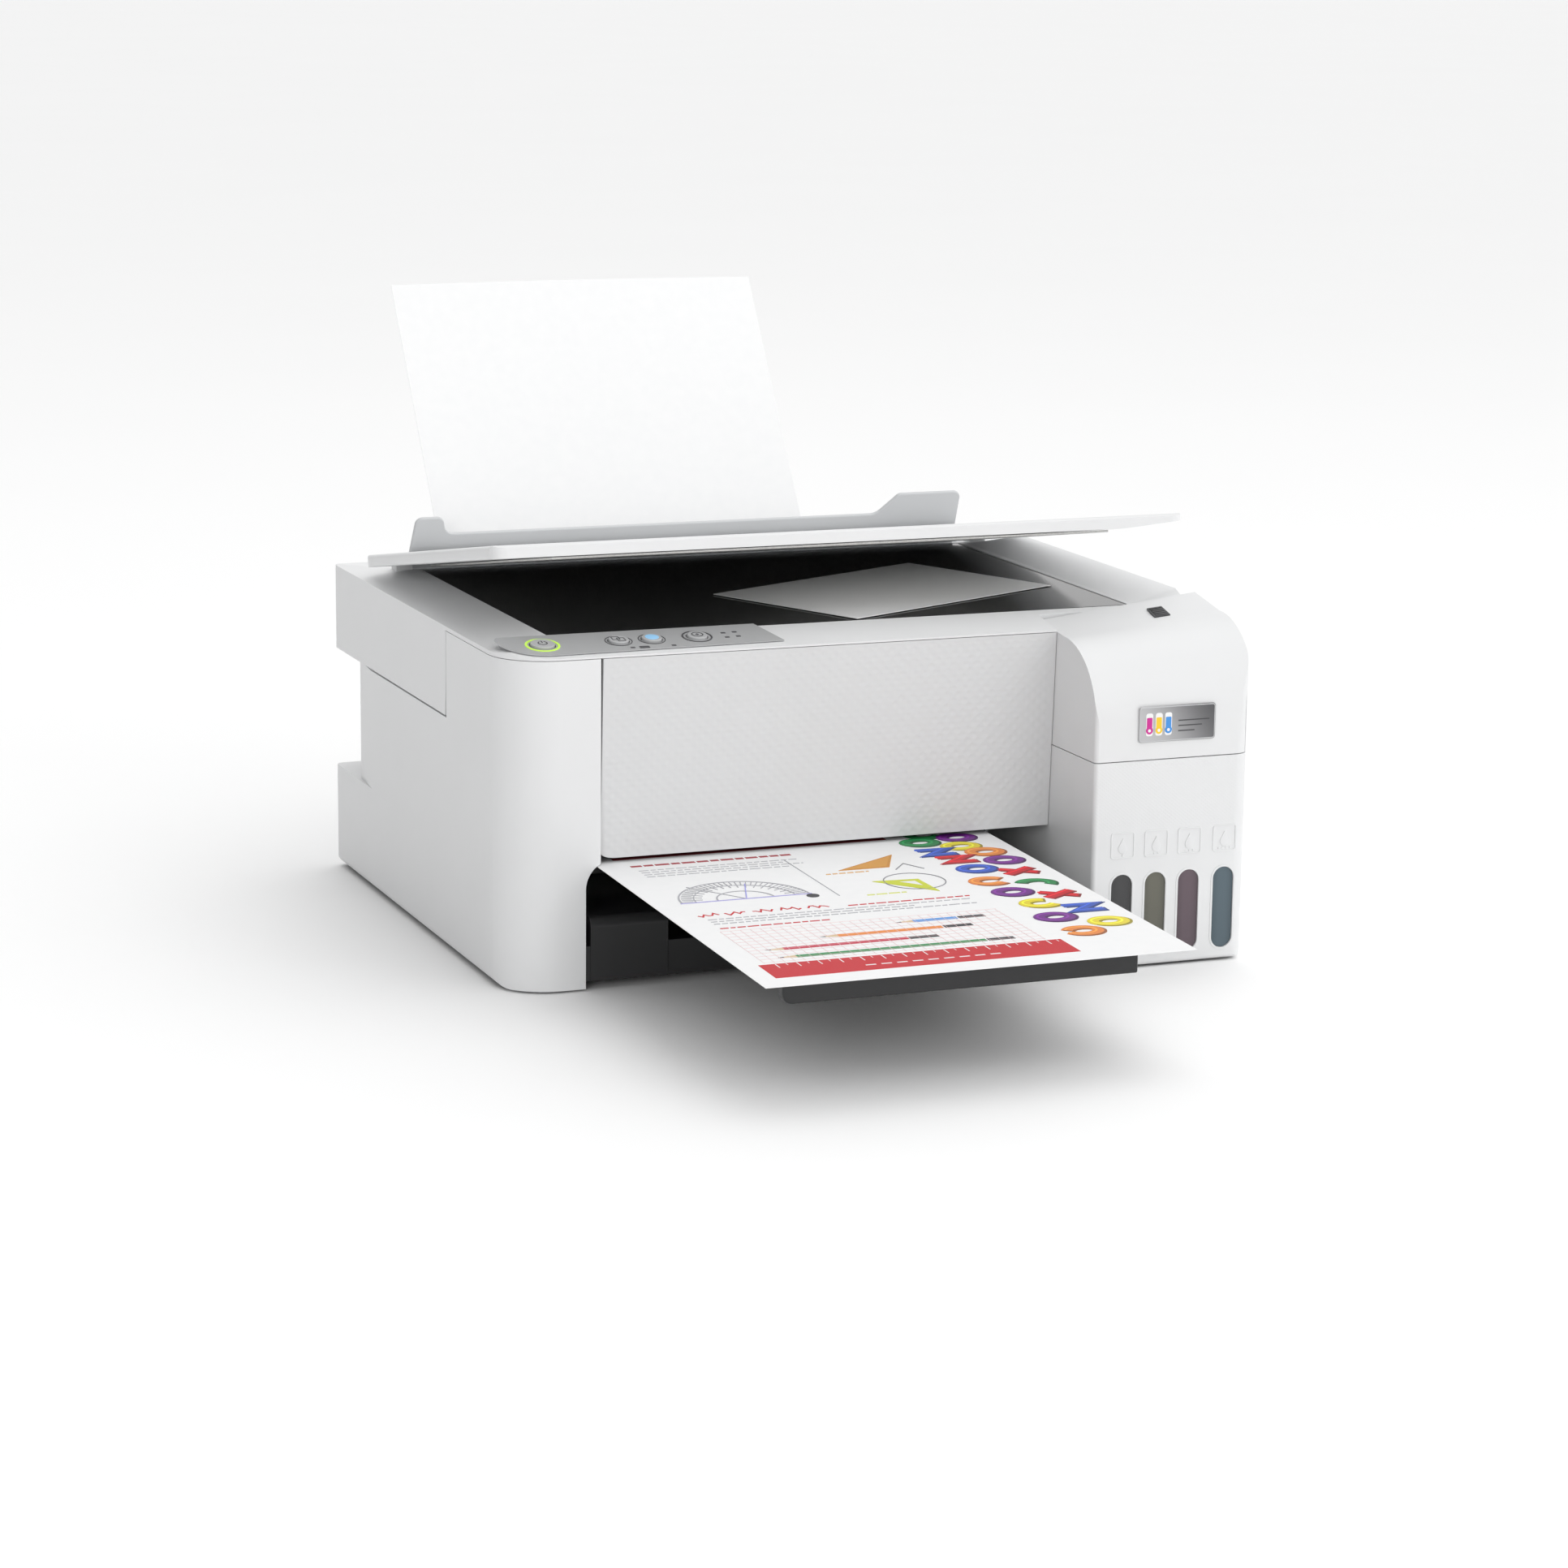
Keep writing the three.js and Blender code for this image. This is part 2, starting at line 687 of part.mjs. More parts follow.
// Scanner ------------------------------------------------------------------------------------------

// The deck: its cross section over the width meets its side section, and the plan rounds its corners.
function scannerDeck() {
  const across = prism(
    "y",
    outline([
      [-HALF, DECK_LOW_Z],
      [HALF, DECK_LOW_Z],
      [HALF, RIM_RIGHT_Z],
      [GLASS_X[1] + 4, DECK_Z],
      [GLASS_X[0] - 2, DECK_Z],
      [-HALF, RIM_LEFT_Z],
    ]),
    [FRONT_Y - 1, REAR_Y + 1],
  );
  const along = prism(
    "x",
    outline([
      [FRONT_Y, DECK_LOW_Z],
      [REAR_Y, DECK_LOW_Z],
      [REAR_Y, RIM_LEFT_Z],
      [LID_HINGE.y - 8, DECK_Z],
      [LID_HINGE.y - 24, RIM_RIGHT_Z + 5],
      [STRIP_REAR_Y + 24, RIM_RIGHT_Z + 5],
      [STRIP_REAR_Y, DECK_Z],
      [FRONT_Y, RIM_FRONT_Z],
    ]),
    [-HALF, HALF],
  );
  const bay = block([BAY_X - GAP, HALF + 1], [BAY_FRONT_Y, DECK_RIGHT_FRONT_Y], [SKIRT_Z - 1, ABOVE]);
  const hood = block([ARM_X[0], ARM_X[1]], [DECK_REAR_Y, REAR_Y + 1], [SKIRT_Z - 1, ABOVE]);
  const plan = prism("z", bodyPlan(), [FLOOR_Z, ABOVE]);
  const skirt = prism("z", bodyPlan(), [SKIRT_Z, DECK_LOW_Z + 1])
    .subtract(prism("z", bodyPlan(WALL), [SKIRT_Z - 1, DECK_LOW_Z + 2]))
    .intersect(block([-HALF - 1, HALF + 1], [SKIRT_FRONT_Y, REAR_Y + 1], [0, ABOVE]));
  // The skirt's lower front corner leans back, so that it clears the housing as the deck lifts.
  const relief = prism(
    "x",
    outline([
      [SKIRT_FRONT_Y - 1, SKIRT_Z - 1],
      [SKIRT_FRONT_Y + SKIRT_RELIEF, SKIRT_Z - 1],
      [SKIRT_FRONT_Y, SKIRT_Z + SKIRT_RELIEF_HEIGHT],
      [SKIRT_FRONT_Y - 1, SKIRT_Z + SKIRT_RELIEF_HEIGHT],
    ]),
    [-HALF - 1, HALF + 1],
  );
  const lip = block(
    [GLASS_X[0] + GLASS_LIP, GLASS_X[1] - GLASS_LIP],
    [GLASS_Y[0] + GLASS_LIP, GLASS_Y[1] - GLASS_LIP],
    [SKIRT_Z - 1, ABOVE],
  );
  const pane = block(GLASS_X, GLASS_Y, [LIP_Z, ABOVE]);
  return across
    .intersect(along)
    .intersect(plan)
    .add(skirt.subtract(relief))
    .subtract(bay)
    .subtract(hood)
    .subtract(lip)
    .subtract(pane);
}

const SLOPE_DEG = THREE.MathUtils.radToDeg(
  Math.atan2(DECK_Z - RIM_FRONT_Z, STRIP_REAR_Y - FRONT_Y),
);
const FILM_LENGTH = (STRIP_REAR_Y - FRONT_Y) / Math.cos(rad(SLOPE_DEG));

// Local to the slope: X across, Y up the slope from its front edge, Z out of it.
function slopeGroup(...children) {
  return group(FRONT_Y, RIM_FRONT_Z, -SLOPE_DEG, ...children);
}

function controlFilm() {
  const top = FILM_LENGTH - 1;
  let film = prism(
    "z",
    outline([
      [-HALF + FILM_EDGE, FILM_EDGE, FILM_CORNER],
      [FILM_TIP[1], 2 * FILM_EDGE],
      [FILM_TIP[0], top],
      [-HALF + FILM_EDGE, top, FILM_EDGE],
    ]),
    [GAP, GAP + FILM],
  );
  for (const [, x, radius] of BUTTONS)
    film = film.subtract(prism("z", circle(x, BUTTON_ROW, radius + RUN), [-1, 3]));
  return film;
}

function button(radius) {
  return prism("z", circle(0, 0, radius), [-BUTTON_SUNK, GAP + FILM + BUTTON_PROUD], 0.4);
}

// The deck in its own frame, with a well under each button.
function drilledDeck() {
  let deck = scannerDeck();
  const turn = new THREE.Matrix4().makeRotationX(rad(SLOPE_DEG)).setPosition(0, FRONT_Y, RIM_FRONT_Z);
  for (const [, x, radius] of BUTTONS) {
    const well = new THREE.CylinderGeometry(radius + RUN, radius + RUN, 8, 24);
    deck = deck.subtract(
      solid(well.rotateX(Math.PI / 2).translate(x, BUTTON_ROW, 0).applyMatrix4(turn)),
    );
  }
  return deck;
}

const TUB = { x: [-176, 176], y: [GLASS_Y[0] - 2, GLASS_Y[1] + 6] };

function scannerTub() {
  const top = DECK_LOW_Z - GAP;
  const rearLow = TUB.y[1] - (top - TUB_FLOOR_Z) * Math.tan(rad(TUB_LEAN_DEG));
  const side = (inset, low, high) =>
    outline([
      [TUB.y[0] + inset, low],
      [rearLow - 1.1 * inset, low],
      [TUB.y[1] - 1.1 * inset, high],
      [TUB.y[0] + inset, high],
    ]);
  const outer = prism("x", side(0, TUB_FLOOR_Z, top), TUB.x);
  const inner = prism("x", side(WALL, TUB_FLOOR_Z + WALL, top + 1), [
    TUB.x[0] + WALL,
    TUB.x[1] - WALL,
  ]);
  return outer.subtract(inner);
}

const RAIL = { y: 8, z: TUB_FLOOR_Z + WALL + RAIL_RADIUS + 6 };
const BAR_LOW_Z = RAIL.z - 1;
const BAR_REAR_Y = 108;

function scanBar() {
  const x0 = TUB.x[0] + WALL + 3;
  const body = block(
    [x0, x0 + BAR_WIDTH],
    [TUB.y[0] + WALL + 2, BAR_REAR_Y],
    [BAR_LOW_Z, BAR_LOW_Z + BAR_HEIGHT],
  );
  return body.subtract(
    prism("x", circle(RAIL.y, RAIL.z, RAIL_RADIUS + RUN, 16), [x0 - 1, x0 + BAR_WIDTH + 1]),
  );
}

function scanRail() {
  return prism("x", circle(RAIL.y, RAIL.z, RAIL_RADIUS, 16), [
    TUB.x[0] + WALL + GAP,
    TUB.x[1] - WALL - GAP,
  ]);
}

function scannerGlass() {
  return block(
    [GLASS_X[0] + GAP, GLASS_X[1] - GAP],
    [GLASS_Y[0] + GAP, GLASS_Y[1] - GAP],
    [LIP_Z + GAP, LIP_Z + GAP + GLASS_THICKNESS],
  );
}

const CARD = { x: 52, y: -21, width: 150, depth: 100, turnDeg: 25, thickness: 0.4 };

function card() {
  const half = [CARD.width / 2, CARD.depth / 2];
  return prism(
    "z",
    rectangle([-half[0], half[0]], [-half[1], half[1]]),
    [0, CARD.thickness],
  );
}

// Document cover, local to its hinge ---------------------------------------------------------------

function documentCover() {
  const across = outline([
    [-LID_HALF, -LID_UNDER, 1.5],
    [GLASS_X[1] - 4, -LID_UNDER],
    [LID_HALF, RIM_RIGHT_Z - LID_HINGE.z + 0.4, 1],
    [LID_HALF, LID_TOP, 1.5],
    [-LID_HALF, LID_TOP, 2.5],
  ]);
  const slab = prism("y", across, [-LID_REACH, LID_TAIL]);
  const plan = prism("z", rectangle([-LID_HALF, LID_HALF], [-LID_REACH, LID_TAIL], 8), [-10, 10]);
  const chamfer = prism(
    "x",
    outline([
      [-LID_REACH - 1, -10],
      [LID_TAIL + 1, -10],
      [LID_TAIL + 1, LID_TOP + 1],
      [-LID_REACH + 6, LID_TOP + 0.5],
      [-LID_REACH - 1, LID_TOP - 1.6],
    ]),
    [-HALF, HALF],
  );
  return slab.intersect(plan).intersect(chamfer);
}

function lidPad() {
  return block(
    [GLASS_X[0] + 4, GLASS_X[1] - 8],
    [GLASS_Y[0] - LID_HINGE.y + 6, GLASS_Y[1] - LID_HINGE.y - 4],
    [-LID_UNDER - GAP - PAD_THICKNESS, -LID_UNDER - GAP],
  );
}

// Rear feeder --------------------------------------------------------------------------------------

// Local to the guard's hinge, standing upright.
function feederGuard() {
  const shape = outline([
    [GUARD_X[0], -2],
    [GUARD_X[1], -2],
    [GUARD_X[1], GUARD_HEIGHT, 4],
    [GUARD_NOTCH_X[1] + 12, GUARD_HEIGHT, 4],
    [GUARD_NOTCH_X[1], GUARD_NOTCH_Z, 8],
    [GUARD_NOTCH_X[0], GUARD_NOTCH_Z, 6],
    [GUARD_NOTCH_X[0] - 2, GUARD_HEIGHT - 2, 4],
    [GUARD_X[0] + 3, GUARD_HEIGHT - 2, 4],
  ]);
  return prism("y", shape, [-GUARD_THICKNESS / 2, GUARD_THICKNESS / 2]);
}

const SHEET_SPAN = [SHEET_X - SHEET_WIDTH / 2, SHEET_X + SHEET_WIDTH / 2];

// Local to the sheet's lower edge: Z runs up the sheet, Y away from its front.
function loadedSheet() {
  return block(SHEET_SPAN, [0, SHEET_THICKNESS], [0, SHEET_LENGTH]);
}

const CHUTE_FACE = SHEET_THICKNESS + 1;

function feederChute() {
  const plate = block(CHUTE_X, [CHUTE_FACE, CHUTE_FACE + CHUTE_THICKNESS], [CHUTE_LOW, CHUTE_HIGH]);
  let chute = plate;
  for (const x of [CHUTE_X[0], CHUTE_X[1] - CHUTE_THICKNESS])
    chute = chute.add(
      block([x, x + CHUTE_THICKNESS], [-3, CHUTE_FACE + 1], [CHUTE_LOW + 60, CHUTE_HIGH - 14]),
    );
  return chute;
}

const SUPPORT_FACE = CHUTE_FACE + CHUTE_THICKNESS + GAP;
const SUPPORT_SPAN = [SHEET_X - SUPPORT_WIDTH / 2, SHEET_X + SUPPORT_WIDTH / 2];

function paperSupport() {
  const plate = prism(
    "y",
    outline([
      [SUPPORT_SPAN[0] - 10, SUPPORT_LOW],
      [SUPPORT_SPAN[1] + 10, SUPPORT_LOW],
      [SUPPORT_SPAN[1], SUPPORT_HIGH, 14],
      [SUPPORT_SPAN[0], SUPPORT_HIGH, 14],
    ]),
    [SUPPORT_FACE, SUPPORT_FACE + SUPPORT_THICKNESS],
  );
  const gripLow = SUPPORT_HIGH - GRIP.from_top;
  const hole = rectangle(
    [SHEET_X - GRIP.width / 2, SHEET_X + GRIP.width / 2],
    [gripLow, gripLow + GRIP.height],
    GRIP.round,
  );
  const grip = prism("y", hole, [SUPPORT_FACE - 1, SUPPORT_FACE + SUPPORT_THICKNESS + 1]);
  return plate.subtract(grip);
}

function edgeGuide() {
  const low = CHUTE_HIGH - GUIDE_HEIGHT;
  const fence = block(
    [SHEET_SPAN[1] + RUN, SHEET_SPAN[1] + RUN + GUIDE_FENCE],
    [-GUIDE_DEPTH, CHUTE_FACE - GAP],
    [low, CHUTE_HIGH - 2],
  );
  const foot = block(
    [SHEET_SPAN[1] + RUN, SHEET_SPAN[1] + RUN + GUIDE_FOOT.width],
    [-GUIDE_FOOT.depth, CHUTE_FACE - GAP],
    [low, low + GUIDE_FOOT.height],
  );
  return fence.add(foot);
}

// Output side --------------------------------------------------------------------------------------

// Local to the page's rear edge.
function printedPage() {
  const span = [PAGE_X - SHEET_WIDTH / 2, PAGE_X + SHEET_WIDTH / 2];
  return block(span, [-SHEET_LENGTH, 0], [0, SHEET_THICKNESS]);
}

function outputTray() {
  const floor = block(TRAY_X, TRAY_Y, [TRAY_Z, TRAY_Z + TRAY_THICKNESS]);
  let tray = floor;
  for (const x of [TRAY_X[0], TRAY_X[1] - WALL])
    tray = tray.add(block([x, x + WALL], TRAY_Y, [TRAY_Z, TRAY_Z + TRAY_SIDE]));
  return tray;
}

const EXTENSION_Z = TRAY_Z + TRAY_THICKNESS + GAP;

function trayExtension() {
  const plate = block([TRAY_X[0] + WALL + RUN, EXTENSION_X[1]], EXTENSION_Y, [
    EXTENSION_Z,
    EXTENSION_Z + EXTENSION_THICKNESS,
  ]);
  const lip = prism(
    "y",
    outline([
      [EXTENSION_X[0], EXTENSION_Z, 5],
      [EXTENSION_X[1], EXTENSION_Z],
      [EXTENSION_X[1], EXTENSION_Z + LIP_HEIGHT, 1],
      [EXTENSION_X[0], EXTENSION_Z + LIP_HEIGHT, 1],
    ]),
    [EXTENSION_Y[0], EXTENSION_Y[0] + LIP_DEPTH],
  );
  return plate.add(lip);
}

// Print mechanism ----------------------------------------------------------------------------------

function chassis() {
  const ends = [PLATE_X[0], PLATE_X[1] - PLATE_THICKNESS];
  const back = [PLATE_Y[1] - PLATE_THICKNESS, PLATE_Y[1]];
  let frame = block(PLATE_X, back, [PLATE_Z[0] + 32, PLATE_Z[1]]);
  for (const x of ends)
    frame = frame.add(
      prism(
        "x",
        outline([
          [PLATE_Y[0], PLATE_Z[0]],
          [PLATE_Y[1], PLATE_Z[0]],
          [PLATE_Y[1], PLATE_Z[1]],
          [PLATE_Y[0] + 40, PLATE_Z[1], 12],
          [PLATE_Y[0], PLATE_Z[1] - 44, 8],
        ]),
        [x, x + PLATE_THICKNESS],
      ),
    );
  for (const x of [BELT.left, BELT.right])
    frame = frame.subtract(
      prism("y", circle(x, BELT.z, AXLE_RADIUS + RUN, 12), [PLATE_Y[1] - 5, PLATE_Y[1] + 1]),
    );
  return frame;
}

const INNER_X = [PLATE_X[0] + PLATE_THICKNESS + GAP, PLATE_X[1] - PLATE_THICKNESS - GAP];

function guideShaft() {
  return prism("x", circle(SHAFT.y, SHAFT.z, SHAFT.radius), INNER_X);
}

function carriage() {
  const shell = prism(
    "x",
    outline([
      [CARRIAGE_Y[0], CARRIAGE_Z[0], 2],
      [CARRIAGE_Y[1], CARRIAGE_Z[0], 2],
      [CARRIAGE_Y[1], CARRIAGE_Z[1], 4],
      [CARRIAGE_Y[0] + 12, CARRIAGE_Z[1], 4],
      [CARRIAGE_Y[0], CARRIAGE_Z[1] - 22, 4],
    ]),
    CARRIAGE_X,
  );
  const head = block([CARRIAGE_X[0] + 8, CARRIAGE_X[1] - 8], NOZZLES_Y, [
    CARRIAGE_Z[0] - 3,
    CARRIAGE_Z[0] + 2,
  ]);
  const bore = prism("x", circle(SHAFT.y, SHAFT.z, SHAFT.radius + RUN), [
    CARRIAGE_X[0] - 1,
    CARRIAGE_X[1] + 1,
  ]);
  return shell.add(head).subtract(bore);
}

// A roller on the X axis, local to its middle line, with a gear at its left end.
function roller() {
  const axle = prism("x", circle(0, 0, AXLE_RADIUS, 16), INNER_X);
  const tube = prism("x", circle(0, 0, ROLLER_RADIUS), ROLLER_X);
  const gear = prism("x", gearOutline(GEAR_TEETH, 0), [GEAR_X, GEAR_X + GEAR_WIDTH]);
  return axle.add(tube).add(gear);
}

function pinion() {
  const phase = Math.PI / PINION_TEETH;
  const gear = prism("x", gearOutline(PINION_TEETH, phase), [GEAR_X, GEAR_X + GEAR_WIDTH]);
  return gear.add(prism("x", circle(0, 0, 2, 12), [GEAR_X, GEAR_X + GEAR_WIDTH + MOTOR_STANDOFF]));
}

// The pick-up roller's middle stands off the face of the loaded sheet by its radius.
const LEAN = rad(FEED_LEAN_DEG);
const PICKUP_OFF = PICKUP_RADIUS + RUN;
const PICKUP = {
  y: FEED_FOOT.y + PICKUP_UP * Math.sin(LEAN) - PICKUP_OFF * Math.cos(LEAN),
  z: FEED_FOOT.z + PICKUP_UP * Math.cos(LEAN) + PICKUP_OFF * Math.sin(LEAN),
};

function pickupRoller() {
  const axle = prism("x", circle(0, 0, AXLE_RADIUS, 16), PICKUP_AXLE_X);
  return axle.add(prism("x", circle(0, 0, PICKUP_RADIUS), PICKUP_X));
}

function timingBelt() {
  const loop = (radius, width) =>
    prism(
      "y",
      rectangle(
        [BELT.left - radius, BELT.right + radius],
        [BELT.z - radius, BELT.z + radius],
        radius - 0.01,
      ),
      [BELT.y - width / 2, BELT.y + width / 2],
    );
  return loop(BELT.radius + BELT.thickness, BELT.width).subtract(loop(BELT.radius, 2 * BELT.width));
}

// Local to its axle along Y.
function pulley(axleLength) {
  const half = BELT.width / 2;
  const wheel = prism("y", circle(0, 0, BELT.radius - GAP), [-half, half]);
  const axle = prism("y", circle(0, 0, AXLE_RADIUS - 1, 12), [half - 1, axleLength]);
  return wheel.add(axle);
}

// Assembly -----------------------------------------------------------------------------------------

function placed(piece, x, y, z) {
  piece.position.set(x, y, z);
  return piece;
}

function casing() {
  return [
    mesh("base_frame", baseFrame(), "black"),
    mesh("left_housing", leftHousing(), "shell"),
    mesh("right_housing", rightHousing(), "shell"),
    mesh("front_panel", frontPanel(), "panel"),
    mesh("rear_cover", rearCover(), "shell"),
    mesh("ac_inlet", socket(INLET), "black"),
    mesh("usb_port", socket(USB), "steel"),
    ...feet(),
  ];
}

function inkSystem() {
  const pieces = [mesh("tank_bezel", tankBezel(), "grey")];
  TANK_X.forEach((x, i) => {
    const colour = TANK_COLOURS[i];
    pieces.push(mesh("ink_tank_" + colour, inkTank(x), colour + "_tank"));
    pieces.push(placed(mesh("tank_cap_" + colour, tankCap(), "grey"), x, CAP_HINGE_Y, CAP_Z));
  });
  const plate = prism("y", rectangle(NAMEPLATE.x, NAMEPLATE.z, 1.5), [
    BAY_FRONT_Y - GAP - NAMEPLATE.thickness,
    BAY_FRONT_Y - GAP,
  ]);
  pieces.push(mesh("ink_tank_cover", tankCover(), "shell"));
  pieces.push(mesh("cover_plate", plate, "plate"));
  return pieces;
}

function scannerUnit() {
  const lid = group(
    LID_HINGE.y,
    LID_HINGE.z,
    LID_REST_DEG,
    mesh("document_cover", documentCover(), "shell"),
    mesh("lid_pad", lidPad(), "foam"),
  );
  const guard = group(
    GUARD_HINGE.y,
    GUARD_HINGE.z,
    -GUARD_LEAN_DEG,
    mesh("feeder_guard", feederGuard(), "guard"),
  );
  const original = mesh("original_card", card(), "paper");
  original.position.set(CARD.x, CARD.y, LIP_Z + GLASS_THICKNESS + 2 * GAP);
  original.rotation.z = rad(CARD.turnDeg);
  const buttons = BUTTONS.map(([name, x, radius]) =>
    placed(mesh(name, button(radius), "film"), x, BUTTON_ROW, 0),
  );
  return [
    mesh("scanner_deck", drilledDeck(), "shell"),
    mesh("scanner_tub", scannerTub(), "black"),
    mesh("scanner_glass", scannerGlass(), "glass"),
    mesh("scan_bar", scanBar(), "black"),
    mesh("scan_rail", scanRail(), "steel"),
    slopeGroup(mesh("control_film", controlFilm(), "film"), ...buttons),
    original,
    lid,
    guard,
  ];
}

function feeder() {
  return group(
    FEED_FOOT.y,
    FEED_FOOT.z,
    FEED_LEAN_DEG,
    mesh("loaded_sheet", loadedSheet(), "paper"),
    mesh("feeder_chute", feederChute(), "grey"),
    mesh("paper_support", paperSupport(), "guard"),
    mesh("edge_guide", edgeGuide(), "grey"),
  );
}

function output() {
  const page = mesh("printed_page", printedPage(), "paper");
  return [
    group(PAGE_REAR.y, PAGE_REAR.z, -PAGE_FALL_DEG, page),
    mesh("output_tray", outputTray(), "black"),
    mesh("tray_extension", trayExtension(), "black"),
  ];
}

function mechanism() {
  const pinionY = (FEED_Y + EJECT_Y) / 2;
  const motorX = GEAR_X + GEAR_WIDTH + MOTOR_STANDOFF + GAP;
  const floor = FLOOR_TOP_Z + GAP;
  return [
    mesh("chassis", chassis(), "steel"),
    mesh("guide_shaft", guideShaft(), "steel"),
    mesh("print_head_carriage", carriage(), "black"),
    mesh("platen", block(...PLATEN), "black"),
    mesh("capping_station", block(...CAPPING_STATION), "grey"),
    placed(mesh("feed_roller", roller(), "rubber"), 0, FEED_Y, ROLLER_Z),
    placed(mesh("eject_roller", roller(), "rubber"), 0, EJECT_Y, ROLLER_Z),
    placed(mesh("motor_pinion", pinion(), "steel"), 0, pinionY, ROLLER_Z),
    mesh(
      "feed_motor",
      prism("x", circle(pinionY, ROLLER_Z, MOTOR_RADIUS), [motorX, motorX + MOTOR_LENGTH]),
      "steel",
    ),
    placed(mesh("pickup_roller", pickupRoller(), "rubber"), 0, PICKUP.y, PICKUP.z),
    mesh("timing_belt", timingBelt(), "rubber"),
    placed(mesh("drive_pulley", pulley(PLATE_Y[1] - BELT.y), "steel"), BELT.right, BELT.y, BELT.z),
    placed(mesh("idler_pulley", pulley(PLATE_Y[1] - BELT.y), "steel"), BELT.left, BELT.y, BELT.z),
    mesh(
      "carriage_motor",
      prism("y", circle(BELT.right, BELT.z, MOTOR_RADIUS), [
        PLATE_Y[1] + GAP,
        PLATE_Y[1] + GAP + MOTOR_LENGTH,
      ]),
      "steel",
    ),
    mesh("power_supply", block(POWER_SUPPLY.x, POWER_SUPPLY.y, [floor, POWER_SUPPLY.top]), "steel"),
    mesh("main_board", block(...MAIN_BOARD), "board"),
    mesh("waste_ink_pad", block(WASTE_PAD.x, WASTE_PAD.y, [floor, WASTE_PAD.top]), "foam"),
  ];
}

const DEPTH = [
  PAGE_REAR.y - SHEET_LENGTH * Math.cos(rad(PAGE_FALL_DEG)),
  FEED_FOOT.y + SHEET_LENGTH * Math.sin(LEAN) + SHEET_THICKNESS * Math.cos(LEAN),
];

const printer = new THREE.Group();
printer.position.y = -(DEPTH[0] + DEPTH[1]) / 2;
printer.add(...casing(), ...inkSystem(), ...scannerUnit(), feeder(), ...output(), ...mechanism());

export default printer;
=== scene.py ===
"""An all-in-one ink-tank printer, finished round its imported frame: mouldings, panels, prints and trim."""

import json
import math
import random

import bmesh
import bpy
from bpy.props import FloatProperty, FloatVectorProperty, IntProperty, PointerProperty
from mathutils import Matrix, Vector


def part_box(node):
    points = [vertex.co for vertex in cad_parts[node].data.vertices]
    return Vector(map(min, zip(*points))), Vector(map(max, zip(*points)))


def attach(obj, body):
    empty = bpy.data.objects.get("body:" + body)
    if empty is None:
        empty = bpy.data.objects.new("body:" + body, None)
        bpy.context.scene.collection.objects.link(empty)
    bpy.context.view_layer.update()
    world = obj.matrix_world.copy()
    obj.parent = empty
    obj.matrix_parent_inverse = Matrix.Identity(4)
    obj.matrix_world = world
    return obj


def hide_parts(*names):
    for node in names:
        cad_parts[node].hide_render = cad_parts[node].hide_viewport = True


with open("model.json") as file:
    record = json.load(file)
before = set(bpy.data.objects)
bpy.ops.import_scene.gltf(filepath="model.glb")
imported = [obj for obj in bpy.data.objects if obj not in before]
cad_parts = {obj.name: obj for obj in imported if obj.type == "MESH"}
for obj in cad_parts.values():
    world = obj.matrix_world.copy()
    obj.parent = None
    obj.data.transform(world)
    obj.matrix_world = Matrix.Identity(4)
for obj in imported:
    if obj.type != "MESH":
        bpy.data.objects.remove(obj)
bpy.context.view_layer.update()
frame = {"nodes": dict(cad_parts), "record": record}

bl_info = {
    "name": "Ink-tank Printer",
    "version": (1, 0, 0),
    "blender": (4, 5, 0),
    "location": "3D View > Sidebar > Printer",
    "description": "Builds an all-in-one ink-tank printer round its packed frame",
    "category": "Add Mesh",
}

# Places, in millimetres: X across, Y to the back, Z up, with Y counted as in the housing's own drawing.
MM = 0.001
HOUSING_REAR = 174.0
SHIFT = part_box("left_housing")[1].y / MM - HOUSING_REAR  # from the drawing's Y to the frame's
FRONT = -128.0
BAY_FRONT = -175.0
BAY_LEFT = 101.0
BAY_SEAM_Z = 105.7  # the lower edge of the tank cover
COVER_RISE = (163.3, 171.9)  # height of the cover's top behind its curve, at its left and right sides
SIDE = 187.5
STRIP = {"front": (FRONT, 164.8), "rear": (-97.0, 170.5)}  # (Y, Z) of the control strip's edges
LID_HINGE = (118.0, 176.0)  # (Y, Z) of the document cover's axis
FEED_FOOT = (66.0, 63.0)  # (Y, Z) of the foot of the loaded sheet
FEED_LEAN = math.radians(34)
TANKS = ("black", "yellow", "magenta", "cyan")
BUTTONS = ("power_button", "copy_mono_button", "copy_colour_button", "stop_button")
PLAIN = (1.0, 1.0, 1.0)  # the tint of a shape whose material ignores it


def at(x, y, z):
    """A place in millimetres as a point of the frame in metres."""
    return Vector((x, y + SHIFT, z)) * MM


def middle(node):
    """The middle of a node's box, in millimetres, as at() takes it."""
    low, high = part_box(node)
    centre = (low + high) / 2 / MM
    return Vector((centre.x, centre.y - SHIFT, centre.z))


BODY_OF = {n: b for b, nodes in frame["record"]["behaviour"]["bodies"].items() for n in nodes}
SLOT_OF = {s["node"]: s["material_slot"] for s in frame["record"]["subparts"]}


# Settings ------------------------------------------------------------------------------------------


